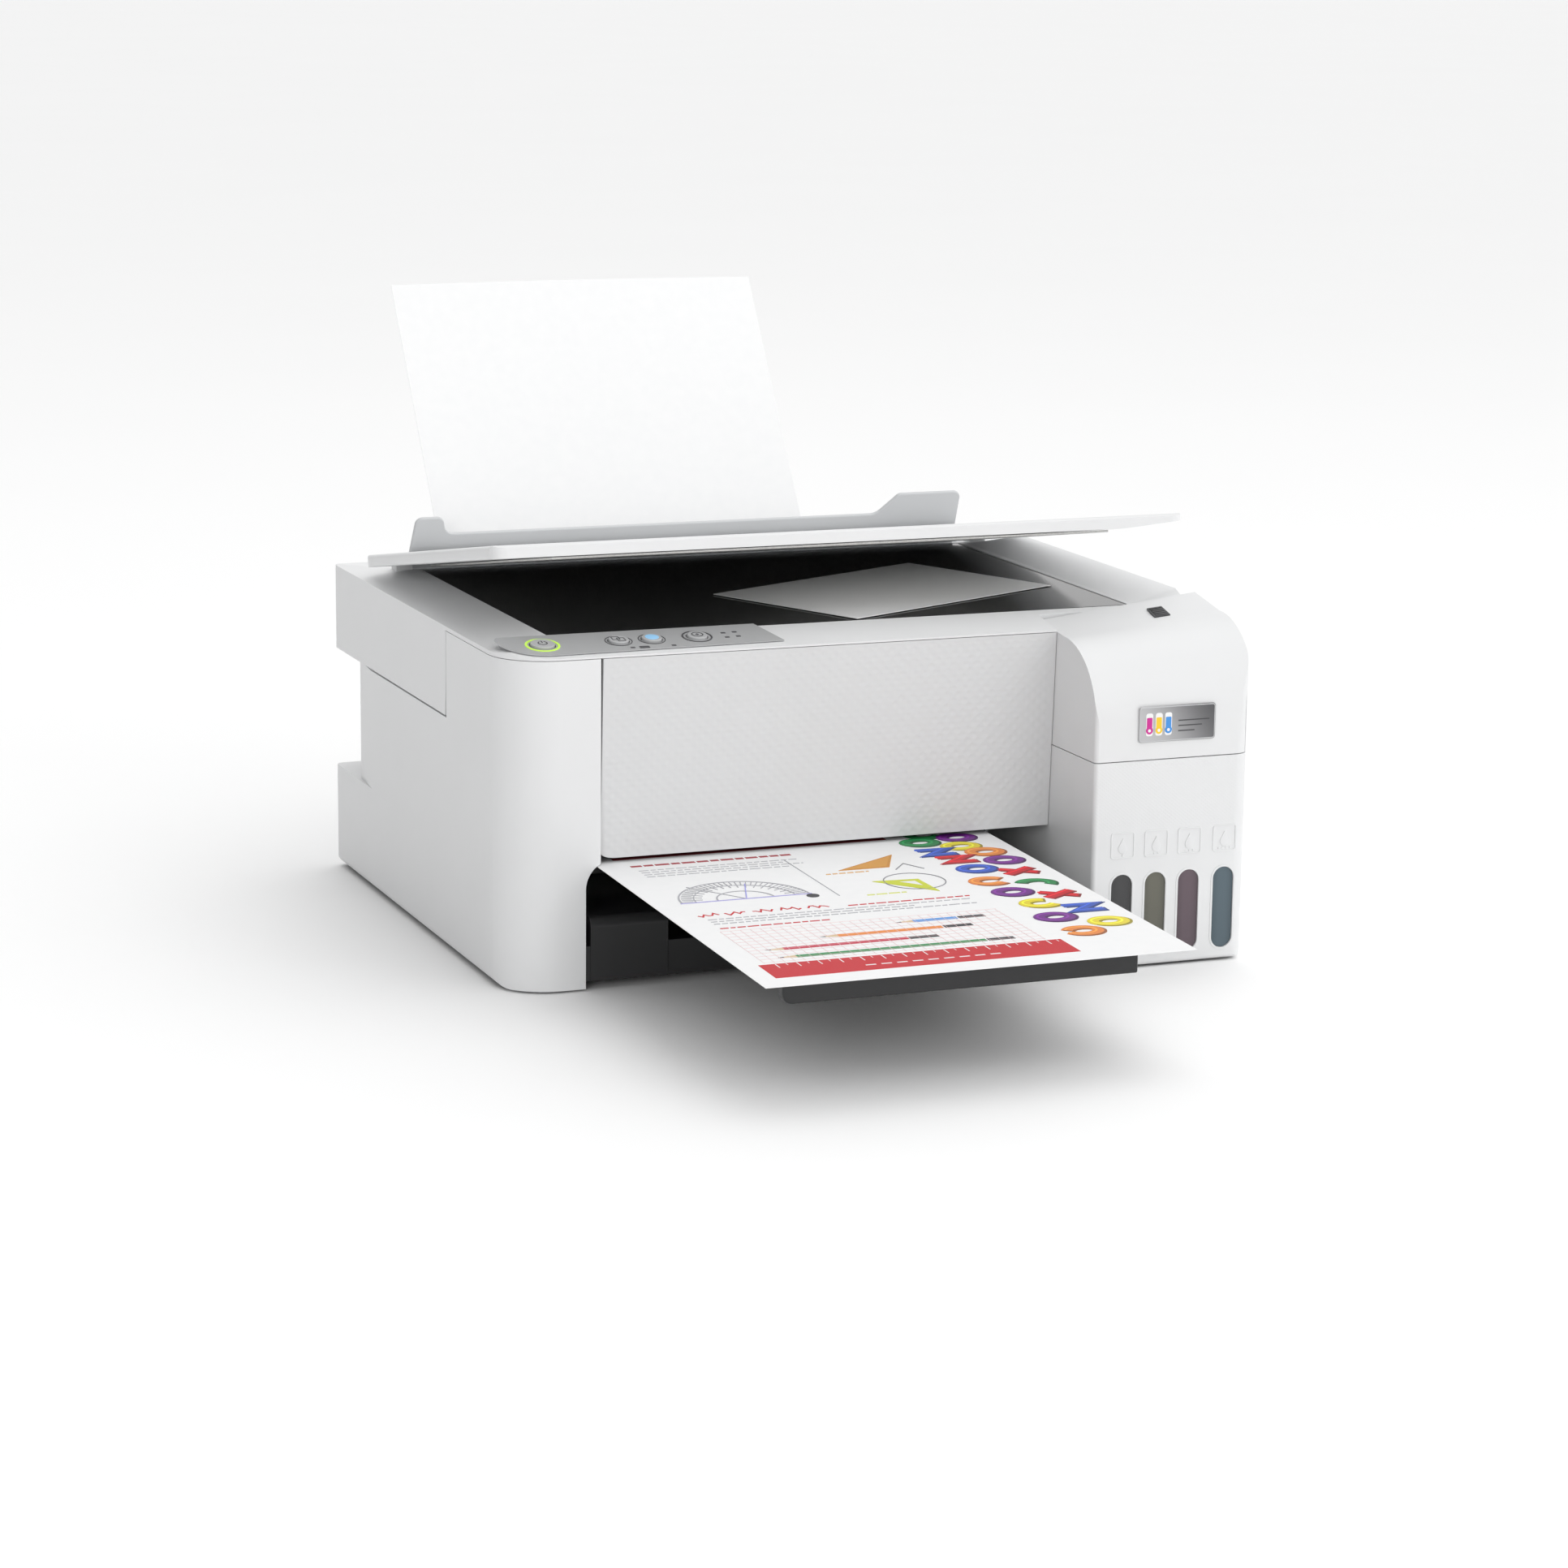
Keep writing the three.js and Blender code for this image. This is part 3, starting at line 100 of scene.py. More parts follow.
class PrinterSizes(bpy.types.PropertyGroup):
    """Sizes of the fine shapes on the printer."""

    edge: FloatProperty(
        name="Edge rounding", description="Rounding of the casing's edges", default=0.0008, unit="LENGTH"
    )
    shoulder: FloatProperty(
        name="Shoulder rounding",
        description="Rounding of the tank cover's left edge",
        default=0.005,
        unit="LENGTH",
    )
    pitch: FloatProperty(
        name="Panel pitch", description="Width of one facet of the panel", default=0.0061, unit="LENGTH"
    )
    rise: FloatProperty(
        name="Panel facet height", description="Height of one facet", default=0.006, unit="LENGTH"
    )
    relief: FloatProperty(
        name="Panel relief", description="Depth of the panel's facets", default=0.0004, unit="LENGTH"
    )
    screws: IntProperty(name="Rear screws", description="Screws in a row of the rear cover", default=4)


class PrinterColours(bpy.types.PropertyGroup):
    """Colours of the printer's finishes."""

    shell: FloatVectorProperty(
        name="Shell", description="Casing plastic", subtype="COLOR", default=(0.77, 0.775, 0.78)
    )
    panel: FloatVectorProperty(
        name="Panel", description="Patterned front panel", subtype="COLOR", default=(0.675, 0.68, 0.685)
    )
    guard: FloatVectorProperty(
        name="Guard", description="Feeder guard", subtype="COLOR", default=(0.60, 0.61, 0.62)
    )
    film: FloatVectorProperty(
        name="Control film",
        description="Film round the buttons",
        subtype="COLOR",
        default=(0.44, 0.445, 0.45),
    )
    black: FloatVectorProperty(
        name="Black", description="Base and trays", subtype="COLOR", default=(0.016, 0.016, 0.017)
    )
    glow: FloatVectorProperty(
        name="Power ring",
        description="Light round the power button",
        subtype="COLOR",
        default=(0.55, 0.85, 0.10),
    )


# Nodes ---------------------------------------------------------------------------------------------


class Value:
    """An output of a node that takes part in sums: each operator adds a Math node."""

    def __init__(self, nodes, socket):
        self.nodes = nodes
        self.socket = socket

    def maths(self, operation, *values):
        return self.nodes.add("ShaderNodeMath", {"operation": operation}, dict(enumerate(values)))

    def __add__(self, other):
        return self.maths("ADD", self, other)

    def __radd__(self, other):
        return self.maths("ADD", other, self)

    def __sub__(self, other):
        return self.maths("SUBTRACT", self, other)

    def __rsub__(self, other):
        return self.maths("SUBTRACT", other, self)

    def __mul__(self, other):
        return self.maths("MULTIPLY", self, other)

    def __rmul__(self, other):
        return self.maths("MULTIPLY", other, self)

    def __truediv__(self, other):
        return self.maths("DIVIDE", self, other)

    def __rtruediv__(self, other):
        return self.maths("DIVIDE", other, self)

    def __gt__(self, other):
        return self.maths("GREATER_THAN", self, other)

    def __lt__(self, other):
        return self.maths("LESS_THAN", self, other)

    def __abs__(self):
        return self.maths("ABSOLUTE", self)

    def least(self, other):
        return self.maths("MINIMUM", self, other)

    def wave(self):
        """A triangle wave of period 1 that runs from 0 to 1 and back."""
        return self.maths("PINGPONG", self, 0.5) * 2

    def ramp(self, low, high):
        """0 below low, 1 above high, and smooth between them."""
        return self.nodes.add(
            "ShaderNodeMapRange",
            {"interpolation_type": "SMOOTHSTEP"},
            {"Value": self, "From Min": low, "From Max": high},
        )


class Nodes:
    """A node tree that is built by one method: a node's type, its settings, then its sockets."""

    def __init__(self, tree):
        self.tree = tree

    def add(self, kind, settings=None, sockets=None, out=0):
        node = self.tree.nodes.new(kind)
        for name, value in (settings or {}).items():
            setattr(node, name, value)
        for name, value in (sockets or {}).items():
            if isinstance(value, Value):
                self.tree.links.new(value.socket, node.inputs[name])
            else:
                node.inputs[name].default_value = value
        return Value(self, node.outputs[out]) if node.outputs else node

    def parts(self, vector):
        """The three numbers of a vector."""
        split = self.add("ShaderNodeSeparateXYZ", None, {"Vector": vector}).socket.node
        return [Value(self, output) for output in split.outputs]


class Shade(Nodes):
    """The nodes of one material."""

    def __init__(self, name):
        self.material = bpy.data.materials.new(name)
        self.material.use_nodes = True
        super().__init__(self.material.node_tree)
        self.tree.nodes.clear()
        self.place = self.add("ShaderNodeTexCoord", out="Object")

    def noise(self, size, detail=2.0, stretch=(1, 1, 1)):
        """Noise whose grains measure about size millimetres, drawn out along the axes by stretch."""
        place = self.place
        if stretch != (1, 1, 1):
            place = self.add(
                "ShaderNodeMapping", None, {"Vector": place, "Scale": tuple(1 / s for s in stretch)}
            )
        return self.add(
            "ShaderNodeTexNoise", None, {"Vector": place, "Scale": 1 / (size * MM), "Detail": detail}
        )

    def mix(self, share, first, second, **settings):
        """Two colours mixed by share, or blended as the settings say."""
        colours = {0: share, 6: solid(first), 7: solid(second)}
        return self.add("ShaderNodeMix", {"data_type": "RGBA", **settings}, colours, out=2)

    def bump(self, height, depth, strength=0.5):
        """The surface normal over a height that runs from 0 to 1, depth millimetres deep."""
        sockets = {"Height": height, "Distance": depth * MM, "Strength": strength}
        return self.add("ShaderNodeBump", None, sockets)

    def surface(self, **sockets):
        """The finished material, from the sockets of its one shader."""
        named = {name.replace("_", " ").title().replace("Ior", "IOR"): v for name, v in sockets.items()}
        shader = self.add("ShaderNodeBsdfPrincipled", None, {k: solid(v) for k, v in named.items()})
        self.add("ShaderNodeOutputMaterial", None, {"Surface": shader})
        return self.material


def solid(colour):
    """A colour with its alpha; anything else is left as it is."""
    return (*colour, 1.0) if isinstance(colour, (tuple, list)) and len(colour) == 3 else colour


def toned(colour, factor):
    """A lighter or a darker tone of a colour."""
    return tuple(min(1.0, c * factor) for c in colour)


def colours():
    """The colours that the user has set."""
    return bpy.context.scene.printer_colours


# Materials -----------------------------------------------------------------------------------------

made = {}


def kept(build):
    """Makes a material once, and gives the same one each time after."""

    def give(*key):
        name = (build.__name__, *key)
        if name not in made:
            made[name] = build(*key)
        return made[name]

    return give


def moulding(shade, colour, roughness, grain, depth=0.03):
    """Spark-eroded moulded plastic: a fine grain, and tone and gloss that drift a little."""
    cloud = shade.noise(45, 3)
    fine = shade.noise(grain, 2)
    tone = shade.mix(cloud, toned(colour, 0.975), toned(colour, 1.02))
    fine_gloss, cloud_gloss = 0.07, 0.06
    gloss = fine * fine_gloss + cloud * cloud_gloss + (roughness - (fine_gloss + cloud_gloss) / 2)
    return tone, gloss, shade.bump(fine, depth, 0.35)


def moulded(name, colour, roughness, grain=0.5, depth=0.03, **sockets):
    """A material of plain moulded plastic."""
    shade = Shade(name)
    tone, gloss, normal = moulding(shade, tuple(colour), roughness, grain, depth)
    return shade.surface(base_color=tone, roughness=gloss, normal=normal, **sockets)


@kept
def shell_plastic():
    """The casing's pale plastic."""
    return moulded("shell plastic", colours().shell, 0.42, specular_ior_level=0.4)


@kept
def tank_front_plastic():
    """Shell plastic with a fine woven relief over the upper part of the tank housing's front."""
    shade = Shade("tank front plastic")
    tone, gloss, grain = moulding(shade, tuple(colours().shell), 0.44, 0.5)
    x, y, z = shade.parts(shade.place)
    across = x / (2.2 * MM)
    up = z / (1.8 * MM)
    weave = (across + up).wave() * (across - up).wave()
    face_near, face_far = at(0, BAY_FRONT + 0.4, 0).y, at(0, BAY_FRONT + 1, 0).y
    height = weave * z.ramp(66 * MM, 80 * MM) * (1 - y.ramp(face_near, face_far))
    normal = shade.add(
        "ShaderNodeBump", None, {"Height": height, "Distance": 0.15 * MM, "Strength": 0.5, "Normal": grain}
    )
    return shade.surface(base_color=tone, roughness=gloss, normal=normal, specular_ior_level=0.4)


@kept
def panel_plastic():
    """The front panel's slightly greyer plastic."""
    return moulded("panel plastic", colours().panel, 0.48, 0.4, specular_ior_level=0.35)


@kept
def guard_plastic():
    """Grey plastic of the feeder's guard and support."""
    return moulded("guard plastic", colours().guard, 0.5, specular_ior_level=0.4)


@kept
def black_plastic():
    """Black plastic of the base and the trays."""
    return moulded("black plastic", colours().black, 0.38, depth=0.05)


@kept
def dark_plastic():
    """Dark grey plastic of the scanner's well and the inner mouldings."""
    return moulded("dark grey plastic", (0.045, 0.046, 0.049), 0.42, depth=0.05)


@kept
def film_plastic():
    """The satin film of the control strip."""
    return moulded("control film", colours().film, 0.34, 0.25, 0.012, coat_weight=0.15, coat_roughness=0.2)


@kept
def button_plastic():
    """Button caps, a little lighter and glossier than the film."""
    tint = toned(colours().film, 1.15)
    return moulded("button plastic", tint, 0.3, 0.3, 0.012, coat_weight=0.2, coat_roughness=0.15)


@kept
def paper():
    """Uncoated paper: a faint mesh of fibres, longer along the sheet."""
    shade = Shade("paper")
    fibres = shade.noise(0.5, 5, (1, 3.5, 1))
    mottle = shade.noise(6, 3)
    tone = shade.mix(mottle, (0.86, 0.865, 0.87), (0.90, 0.90, 0.90))
    return shade.surface(
        base_color=tone,
        roughness=fibres * 0.12 + 0.68,
        normal=shade.bump(fibres, 0.03, 0.25),
        specular_ior_level=0.25,
    )


@kept
def card_stock():
    """Smooth card with painted shade: its tone darkens towards its far end and towards the left, where the
    document cover shades it.
    """
    shade = Shade("original card")
    x, y, _ = shade.parts(shade.place)
    fibres = shade.noise(0.35, 4)
    near_edge, depth = at(0, -70, 0).y, 95 * MM
    # Painted shade of the document cover: the card darkens towards its far end and towards the left.
    fall = ((y - near_edge) / depth - x * 2.4 + 0.05).ramp(0.0, 1.0)
    tone = shade.mix(fall, (0.93, 0.93, 0.93), (0.78, 0.785, 0.79))
    return shade.surface(base_color=tone, roughness=fibres * 0.1 + 0.42, normal=shade.bump(fibres, 0.02, 0.2))


@kept
def foam():
    """Closed-cell foam: small round cells."""
    shade = Shade("foam")
    cells = shade.add("ShaderNodeTexVoronoi", None, {"Vector": shade.place, "Scale": 1 / (0.9 * MM)})
    tone = shade.mix(cells, (0.80, 0.80, 0.78), (0.66, 0.66, 0.64))
    return shade.surface(
        base_color=tone, roughness=cells * 0.1 + 0.85, normal=shade.bump(cells, 0.15, 0.6), sheen_weight=0.1
    )


@kept
def steel():
    """Rolled steel sheet, brushed along its length."""
    shade = Shade("rolled steel")
    streaks = shade.noise(0.25, 4, (30, 1, 1))
    stain = shade.noise(18, 3)
    tone = shade.mix(stain, (0.50, 0.51, 0.52), (0.62, 0.625, 0.63))
    return shade.surface(
        base_color=tone,
        metallic=1.0,
        roughness=streaks * 0.16 + stain * 0.08 + 0.2,
        normal=shade.bump(streaks, 0.015, 0.3),
    )


@kept
def rubber():
    """Matt rubber with open pores."""
    shade = Shade("rubber")
    pores = shade.noise(0.3, 3)
    bloom = shade.noise(14, 3)
    tone = shade.mix(bloom, (0.018, 0.018, 0.019), (0.032, 0.032, 0.033))
    return shade.surface(
        base_color=tone, roughness=pores * 0.12 + bloom * 0.08 + 0.68, normal=shade.bump(pores, 0.08, 0.5)
    )


@kept
def scanner_pane():
    """Float glass over a dark well: a hard gloss with faint wipe marks."""
    shade = Shade("scanner pane")
    wipe = shade.noise(22, 4, (5, 1, 1))
    tone = shade.mix(wipe, (0.0018, 0.0018, 0.002), (0.0032, 0.0032, 0.0035))
    return shade.surface(base_color=tone, roughness=wipe * 0.05 + 0.06, specular_ior_level=0.12)


@kept
def circuit_board():
    """Green solder mask with a lattice of finer tracks."""
    shade = Shade("circuit board")
    _, y, z = shade.parts(shade.place)
    tracks = (y / (3.2 * MM) + z / (5.1 * MM)).wave().least((z / (2.3 * MM)).wave())
    line = 1 - tracks.ramp(0.12, 0.2)
    tone = shade.mix(line, (0.012, 0.10, 0.035), (0.03, 0.19, 0.07))
    return shade.surface(base_color=tone, roughness=line * 0.1 + 0.28, normal=shade.bump(line, 0.05, 0.5))


@kept
def plate_metal():
    """Satin metal foil that darkens from its left edge to its right."""
    shade = Shade("silver plate")
    x, _, z = shade.parts(shade.place)
    low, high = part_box("cover_plate")
    along = (x - low.x) / (high.x - low.x)
    up = (z - low.z) / (high.z - low.z)
    streaks = shade.noise(0.2, 3, (25, 1, 1))
    tone = shade.mix((along + up * 0.25).ramp(0.1, 1.25), (0.52, 0.52, 0.53), (0.11, 0.11, 0.115))
    return shade.surface(
        base_color=tone,
        metallic=0.55,
        roughness=streaks * 0.12 + 0.26,
        normal=shade.bump(streaks, 0.01, 0.25),
    )


TANK_TINTS = {  # a tank's tone down its middle, and its darker tone: painted shade towards the sides, and darker towards the bottom
    "black": ((0.030, 0.030, 0.032), (0.012, 0.012, 0.013)),
    "yellow": ((0.115, 0.112, 0.085), (0.075, 0.073, 0.055)),
    "magenta": ((0.105, 0.070, 0.088), (0.065, 0.040, 0.052)),
    "cyan": ((0.072, 0.110, 0.135), (0.040, 0.068, 0.086)),
}


@kept
def tank_wall(colour):
    """Smoked clear moulding over ink, with painted shade: lighter down the middle and darker towards the
    sides, and also darker towards the bottom.
    """
    shade = Shade("tank wall " + colour)
    bright, dark = TANK_TINTS[colour]
    x, _, z = shade.parts(shade.place)
    centre, half_width = middle("ink_tank_" + colour).x * MM, 6 * MM
    side = (abs(x - centre) / half_width).ramp(0.2, 1.1)
    cloud = shade.noise(9, 2)
    # Painted shade: darker towards each window's sides, and darker towards the bottom; the cloud adds random
    # tone.
    shadow = side * 0.75 + (1 - z.ramp(6 * MM, 52 * MM)) * 0.2 + cloud * 0.1
    tone = shade.mix(shadow, bright, dark)
    return shade.surface(base_color=tone, roughness=cloud * 0.08 + 0.2, coat_weight=0.4, coat_roughness=0.06)


@kept
def printed_ink():
    """Ink on paper in the colour that each shape carries."""
    shade = Shade("printed ink")
    colour = shade.add("ShaderNodeAttribute", {"attribute_name": "ink"}, out="Color")
    dither = shade.noise(0.4, 3)
    tone = shade.mix(dither * 0.25, colour, (0.82, 0.82, 0.82), blend_type="MULTIPLY")
    return shade.surface(base_color=tone, roughness=dither * 0.15 + 0.42)


@kept
def lamp(red, green, blue, strength):
    """A lit ring or dot: a diffusing plastic over a small lamp."""
    shade = Shade("lamp %d" % len(made))
    frost = shade.noise(0.5, 2)
    colour = (red, green, blue)
    tone = shade.mix(frost, toned(colour, 0.9), colour)
    return shade.surface(
        base_color=tone, roughness=frost * 0.1 + 0.3, emission_color=tone, emission_strength=strength
    )


@kept
def icon_paint():
    """Dark printed marks on the control strip."""
    shade = Shade("icon paint")
    grain = shade.noise(0.3, 3)
    tone = shade.mix(grain, (0.07, 0.07, 0.075), (0.10, 0.10, 0.105))
    return shade.surface(base_color=tone, roughness=grain * 0.1 + 0.4)


BY_SLOT = {
    "shell": shell_plastic,
    "panel": panel_plastic,
    "guard_grey": guard_plastic,
    "black": black_plastic,
    "dark_grey": dark_plastic,
    "control_film": film_plastic,
    "button": button_plastic,
    "paper": paper,
    "foam": foam,
    "steel": steel,
    "rubber": rubber,
    "scanner_glass": scanner_pane,
    "circuit_board": circuit_board,
    "plate": plate_metal,
}


def finish_of(node):
    """The material of a node's slot."""
    slot = SLOT_OF[node]
    return BY_SLOT[slot]() if slot in BY_SLOT else tank_wall(slot.removeprefix("tank_"))


# Shapes --------------------------------------------------------------------------------------------


def smooth(mesh, degrees=32):
    """Smooth shading, with a crease where faces meet at more than the angle."""
    mesh.polygons.foreach_set("use_smooth", [True] * len(mesh.polygons))
    mesh.set_sharp_from_angle(angle=math.radians(degrees))


def evaluated(source):
    """The source's mesh with its modifiers carried out, as a plain new mesh; the source goes."""
    bpy.context.view_layer.update()
    graph = bpy.context.evaluated_depsgraph_get()
    result = source.evaluated_get(graph)
    mesh = bpy.data.meshes.new_from_object(result, preserve_all_data_layers=True, depsgraph=graph)
    bpy.data.objects.remove(source)
    return mesh


def scratch(mesh, name="scratch"):
    """An object of the scene that holds the mesh."""
    source = bpy.data.objects.new(name, mesh)
    bpy.context.scene.collection.objects.link(source)
    return source


def piece(name, mesh, material, body, nodes=()):
    """A finished piece: it takes a material, rides on its body and stands for its nodes."""
    mesh.name = name
    if material:
        mesh.materials.clear()
        mesh.materials.append(material)
    made_piece = scratch(mesh, name)
    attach(made_piece, body)
    if nodes:
        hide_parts(*nodes)
    return made_piece


def form_of(mesh):
    """An editable form with the mesh's shape."""
    bm = bmesh.new()
    bm.from_mesh(mesh)
    return bm


def mesh_of(bm, name):
    """The form as a mesh; the form goes."""
    mesh = bpy.data.meshes.new(name)
    bm.to_mesh(mesh)
    bm.free()
    return mesh


def merged(node):
    """A copy of a node's mesh with its corners joined and its flat faces made whole."""
    bm = form_of(frame["nodes"][node].data)
    bmesh.ops.remove_doubles(bm, verts=bm.verts, dist=2e-6)
    bmesh.ops.dissolve_degenerate(bm, edges=bm.edges, dist=2e-6)
    bmesh.ops.dissolve_limit(bm, angle_limit=math.radians(0.6), verts=bm.verts, edges=bm.edges)
    return bm


def rounded(bm, width, wide=None, share=0.2, segments=3, least=30):
    """The form with its edges rounded: by width, or by share of it where wide() says no."""
    weight = bm.edges.layers.float.new("bevel_weight_edge")
    for edge in bm.edges:
        if len(edge.link_faces) != 2 or edge.calc_face_angle(0) < math.radians(least):
            continue
        centre = (edge.verts[0].co + edge.verts[1].co) / 2
        edge[weight] = 1.0 if wide is None or wide(centre, edge) else share
    source = scratch(mesh_of(bm, "form"))
    bevel = source.modifiers.new("edges", "BEVEL")
    bevel.limit_method = "WEIGHT"
    bevel.width = width
    bevel.segments = segments
    bevel.miter_outer = "MITER_ARC"
    bevel.use_clamp_overlap = True
    shape = evaluated(source)
    smooth(shape, 40)
    source = scratch(shape)
    source.modifiers.new("faces", "WEIGHTED_NORMAL").keep_sharp = True
    return evaluated(source)


def finished(node, width, material=None, **rounding):
    """A node's finished piece: the same form with rounded edges."""
    mesh = rounded(merged(node), width, **rounding)
    return piece(
        node + "_finished", mesh, material or finish_of(node), BODY_OF[node], [node]
    )


def arc(a, b, radius, start, end, steps=16):
    """Points on an arc round (a, b), with its angles in degrees."""
    turns = [math.radians(start + (end - start) * k / steps) for k in range(steps + 1)]
    return [(a + radius * math.cos(t), b + radius * math.sin(t)) for t in turns]


def box_outline(a0, b0, a1, b1, radius=0.0, steps=5):
    """A rectangle between two corners, with its own corners rounded."""
    if not radius:
        return [(a0, b0), (a1, b0), (a1, b1), (a0, b1)]
    corners = ((a1 - radius, b0 + radius, -90), (a1 - radius, b1 - radius, 0),
               (a0 + radius, b1 - radius, 90), (a0 + radius, b0 + radius, 180))
    return [p for a, b, start in corners for p in arc(a, b, radius, start, start + 90, steps)]


def drop(a, b, radius):
    """The outline of a drop that points up, centred on its round end."""
    return [(a, b + 2.1 * radius)] + arc(a, b, radius, 150, 390, 18)


class Relief:
    """Thin closed shapes on a flat face: u across it, v up it and w out of it, in millimetres."""

    def __init__(self, origin, across, up):
        self.bm = bmesh.new()
        self.ink = self.bm.loops.layers.float_color.new("ink")
        across, up = Vector(across).normalized(), Vector(up).normalized()
        out = across.cross(up)
        self.frame = Matrix.Translation(origin) @ Matrix((across, up, out)).transposed().to_4x4()
        self.frame = self.frame @ Matrix.Scale(MM, 4)

    def _points(self, line, w):
        return [self.bm.verts.new(self.frame @ Vector((u, v, w))) for u, v in line]

    def _face(self, verts, tint):
        face = self.bm.faces.new(verts)
        for loop in face.loops:
            loop[self.ink] = (*tint, 1.0)

    def plate(self, outline, low, high, tint=PLAIN):
        """A filled outline."""
        area = sum(a[0] * b[1] - b[0] * a[1] for a, b in zip(outline, outline[1:] + outline[:1]))
        line = outline if area > 0 else outline[::-1]
        under, over = self._points(line, low), self._points(line, high)
        self._face(over, tint)
        self._face(under[::-1], tint)
        for k in range(len(line)):
            n = (k + 1) % len(line)
            self._face([under[k], under[n], over[n], over[k]], tint)

    def ribbon(self, line, width, low, high, tint=PLAIN, closed=False):
        """A band along a line."""
        count = len(line)
        left, right = [], []
        for k, point in enumerate(line):
            here = Vector(point)
            before = Vector(line[k - 1]) if closed or k else None
            after = Vector(line[(k + 1) % count]) if closed or k < count - 1 else None
            first = (here - before).normalized() if before else (after - here).normalized()
            last = (after - here).normalized() if after else first
            across = Vector((-first.y - last.y, first.x + last.x)).normalized()
            reach = width / 2 / max(0.4, across.dot(Vector((-first.y, first.x))))
            left.append(here + across * reach)
            right.append(here - across * reach)
        edges = ((right, low), (right, high), (left, high), (left, low))
        rows = [self._points(side, w) for side, w in edges]
        for k in range(count if closed else count - 1):
            n = (k + 1) % count
            for i in range(4):
                j = (i + 1) % 4
                self._face([rows[i][k], rows[i][n], rows[j][n], rows[j][k]], tint)
        if not closed:
            self._face([rows[i][0] for i in range(4)], tint)
            self._face([rows[i][-1] for i in (3, 2, 1, 0)], tint)

    def ring(self, a, b, radius, width, low, high, tint=PLAIN, steps=40):
        """A band round a circle."""
        self.ribbon(arc(a, b, radius, 0, 360, steps)[:-1], width, low, high, tint, closed=True)

    def piece(self, name, material, body, slot=None, edge=0.0):
        """The shapes as one piece, with their edges rounded by edge millimetres."""
        bmesh.ops.recalc_face_normals(self.bm, faces=self.bm.faces)
        if edge:
            sharp = [e for e in self.bm.edges if e.calc_face_angle(0) > math.radians(50)]
            bmesh.ops.bevel(
                self.bm, geom=sharp, offset=edge * MM, segments=2, affect="EDGES", profile=0.6,
                clamp_overlap=True,
            )
        mesh = mesh_of(self.bm, name)
        smooth(mesh, 35)
        return piece(name, mesh, material, body)


def front_face(y):
    """The upright face at y, seen from the front: u is X and v is Z."""
    return Relief(at(0, y, 0), (1, 0, 0), (0, 0, 1))


def rear_face(y):
    """The upright face at y, seen from the back: u runs against X and v is Z."""
    return Relief(at(0, y, 0), (-1, 0, 0), (0, 0, 1))


def strip_face():
    """The sloping control strip: u is X and v runs up the slope from its front edge."""
    (y0, z0), (y1, z1) = STRIP["front"], STRIP["rear"]
    return Relief(at(0, y0, z0), (1, 0, 0), (0, y1 - y0, z1 - z0))


def top_face(z):
    """A level face at z: u is X and v is Y."""
    return Relief(at(0, 0, z), (1, 0, 0), (0, 1, 0))


class Tree(Nodes):
    """A geometry-nodes tree with named inputs, run once on an empty mesh."""

    def __init__(self, name, **inputs):
        super().__init__(bpy.data.node_groups.new(name, "GeometryNodeTree"))
        self.tree.interface.new_socket("Geometry", in_out="OUTPUT", socket_type="NodeSocketGeometry")
        self.values = {}
        for key, value in inputs.items():
            kind = "NodeSocketMaterial" if isinstance(value, bpy.types.Material) else (
                "NodeSocketInt" if isinstance(value, int) else "NodeSocketFloat")
            socket = self.tree.interface.new_socket(key, in_out="INPUT", socket_type=kind)
            self.values[socket.identifier] = value
        entry = self.tree.nodes.new("NodeGroupInput")
        self.inputs = {key: Value(self, entry.outputs[key]) for key in inputs}

    def vector(self, x=0.0, y=0.0, z=0.0):
        """A vector made from three numbers."""
        return self.add("ShaderNodeCombineXYZ", None, {"X": x, "Y": y, "Z": z})

    def repeat(self, shape, points):
        """A copy of the shape at each point."""
        return self.add("GeometryNodeInstanceOnPoints", None, {"Points": points, "Instance": shape})

    def join(self, *shapes):
        """Several shapes as one."""
        joined = self.add("GeometryNodeJoinGeometry")
        for shape in shapes:
            self.tree.links.new(shape.socket, joined.socket.node.inputs[0])
        return joined

    def moved(self, shape, place):
        return self.add("GeometryNodeTransform", None, {"Geometry": shape, "Translation": place})

    def faced(self, shape, material):
        return self.add("GeometryNodeSetMaterial", None, {"Geometry": shape, "Material": material})

    def mesh(self, geometry, material):
        """The mesh that the tree makes."""
        real = self.add("GeometryNodeRealizeInstances", None, {"Geometry": geometry})
        self.add("NodeGroupOutput", None, {"Geometry": self.faced(real, material)})
        source = scratch(bpy.data.meshes.new("seed"))
        modifier = source.modifiers.new("nodes", "NODES")
        modifier.node_group = self.tree
        for identifier, value in self.values.items():
            modifier[identifier] = value
        return evaluated(source)


def grid_points(tree, count_x, count_y, step_x, step_y):
    """Points in a level grid round the origin."""
    grid = tree.add(
        "GeometryNodeMeshGrid", None,
        {"Size X": step_x * (count_x - 1), "Size Y": step_y * (count_y - 1),
         "Vertices X": count_x, "Vertices Y": count_y},
    )
    return tree.add("GeometryNodeMeshToPoints", None, {"Mesh": grid})


# Pieces --------------------------------------------------------------------------------------------


class PrinterOperator:
    """What the printer's operators share."""

    bl_options = {"REGISTER", "UNDO"}

    @property
    def sizes(self):
        return bpy.context.scene.printer_sizes


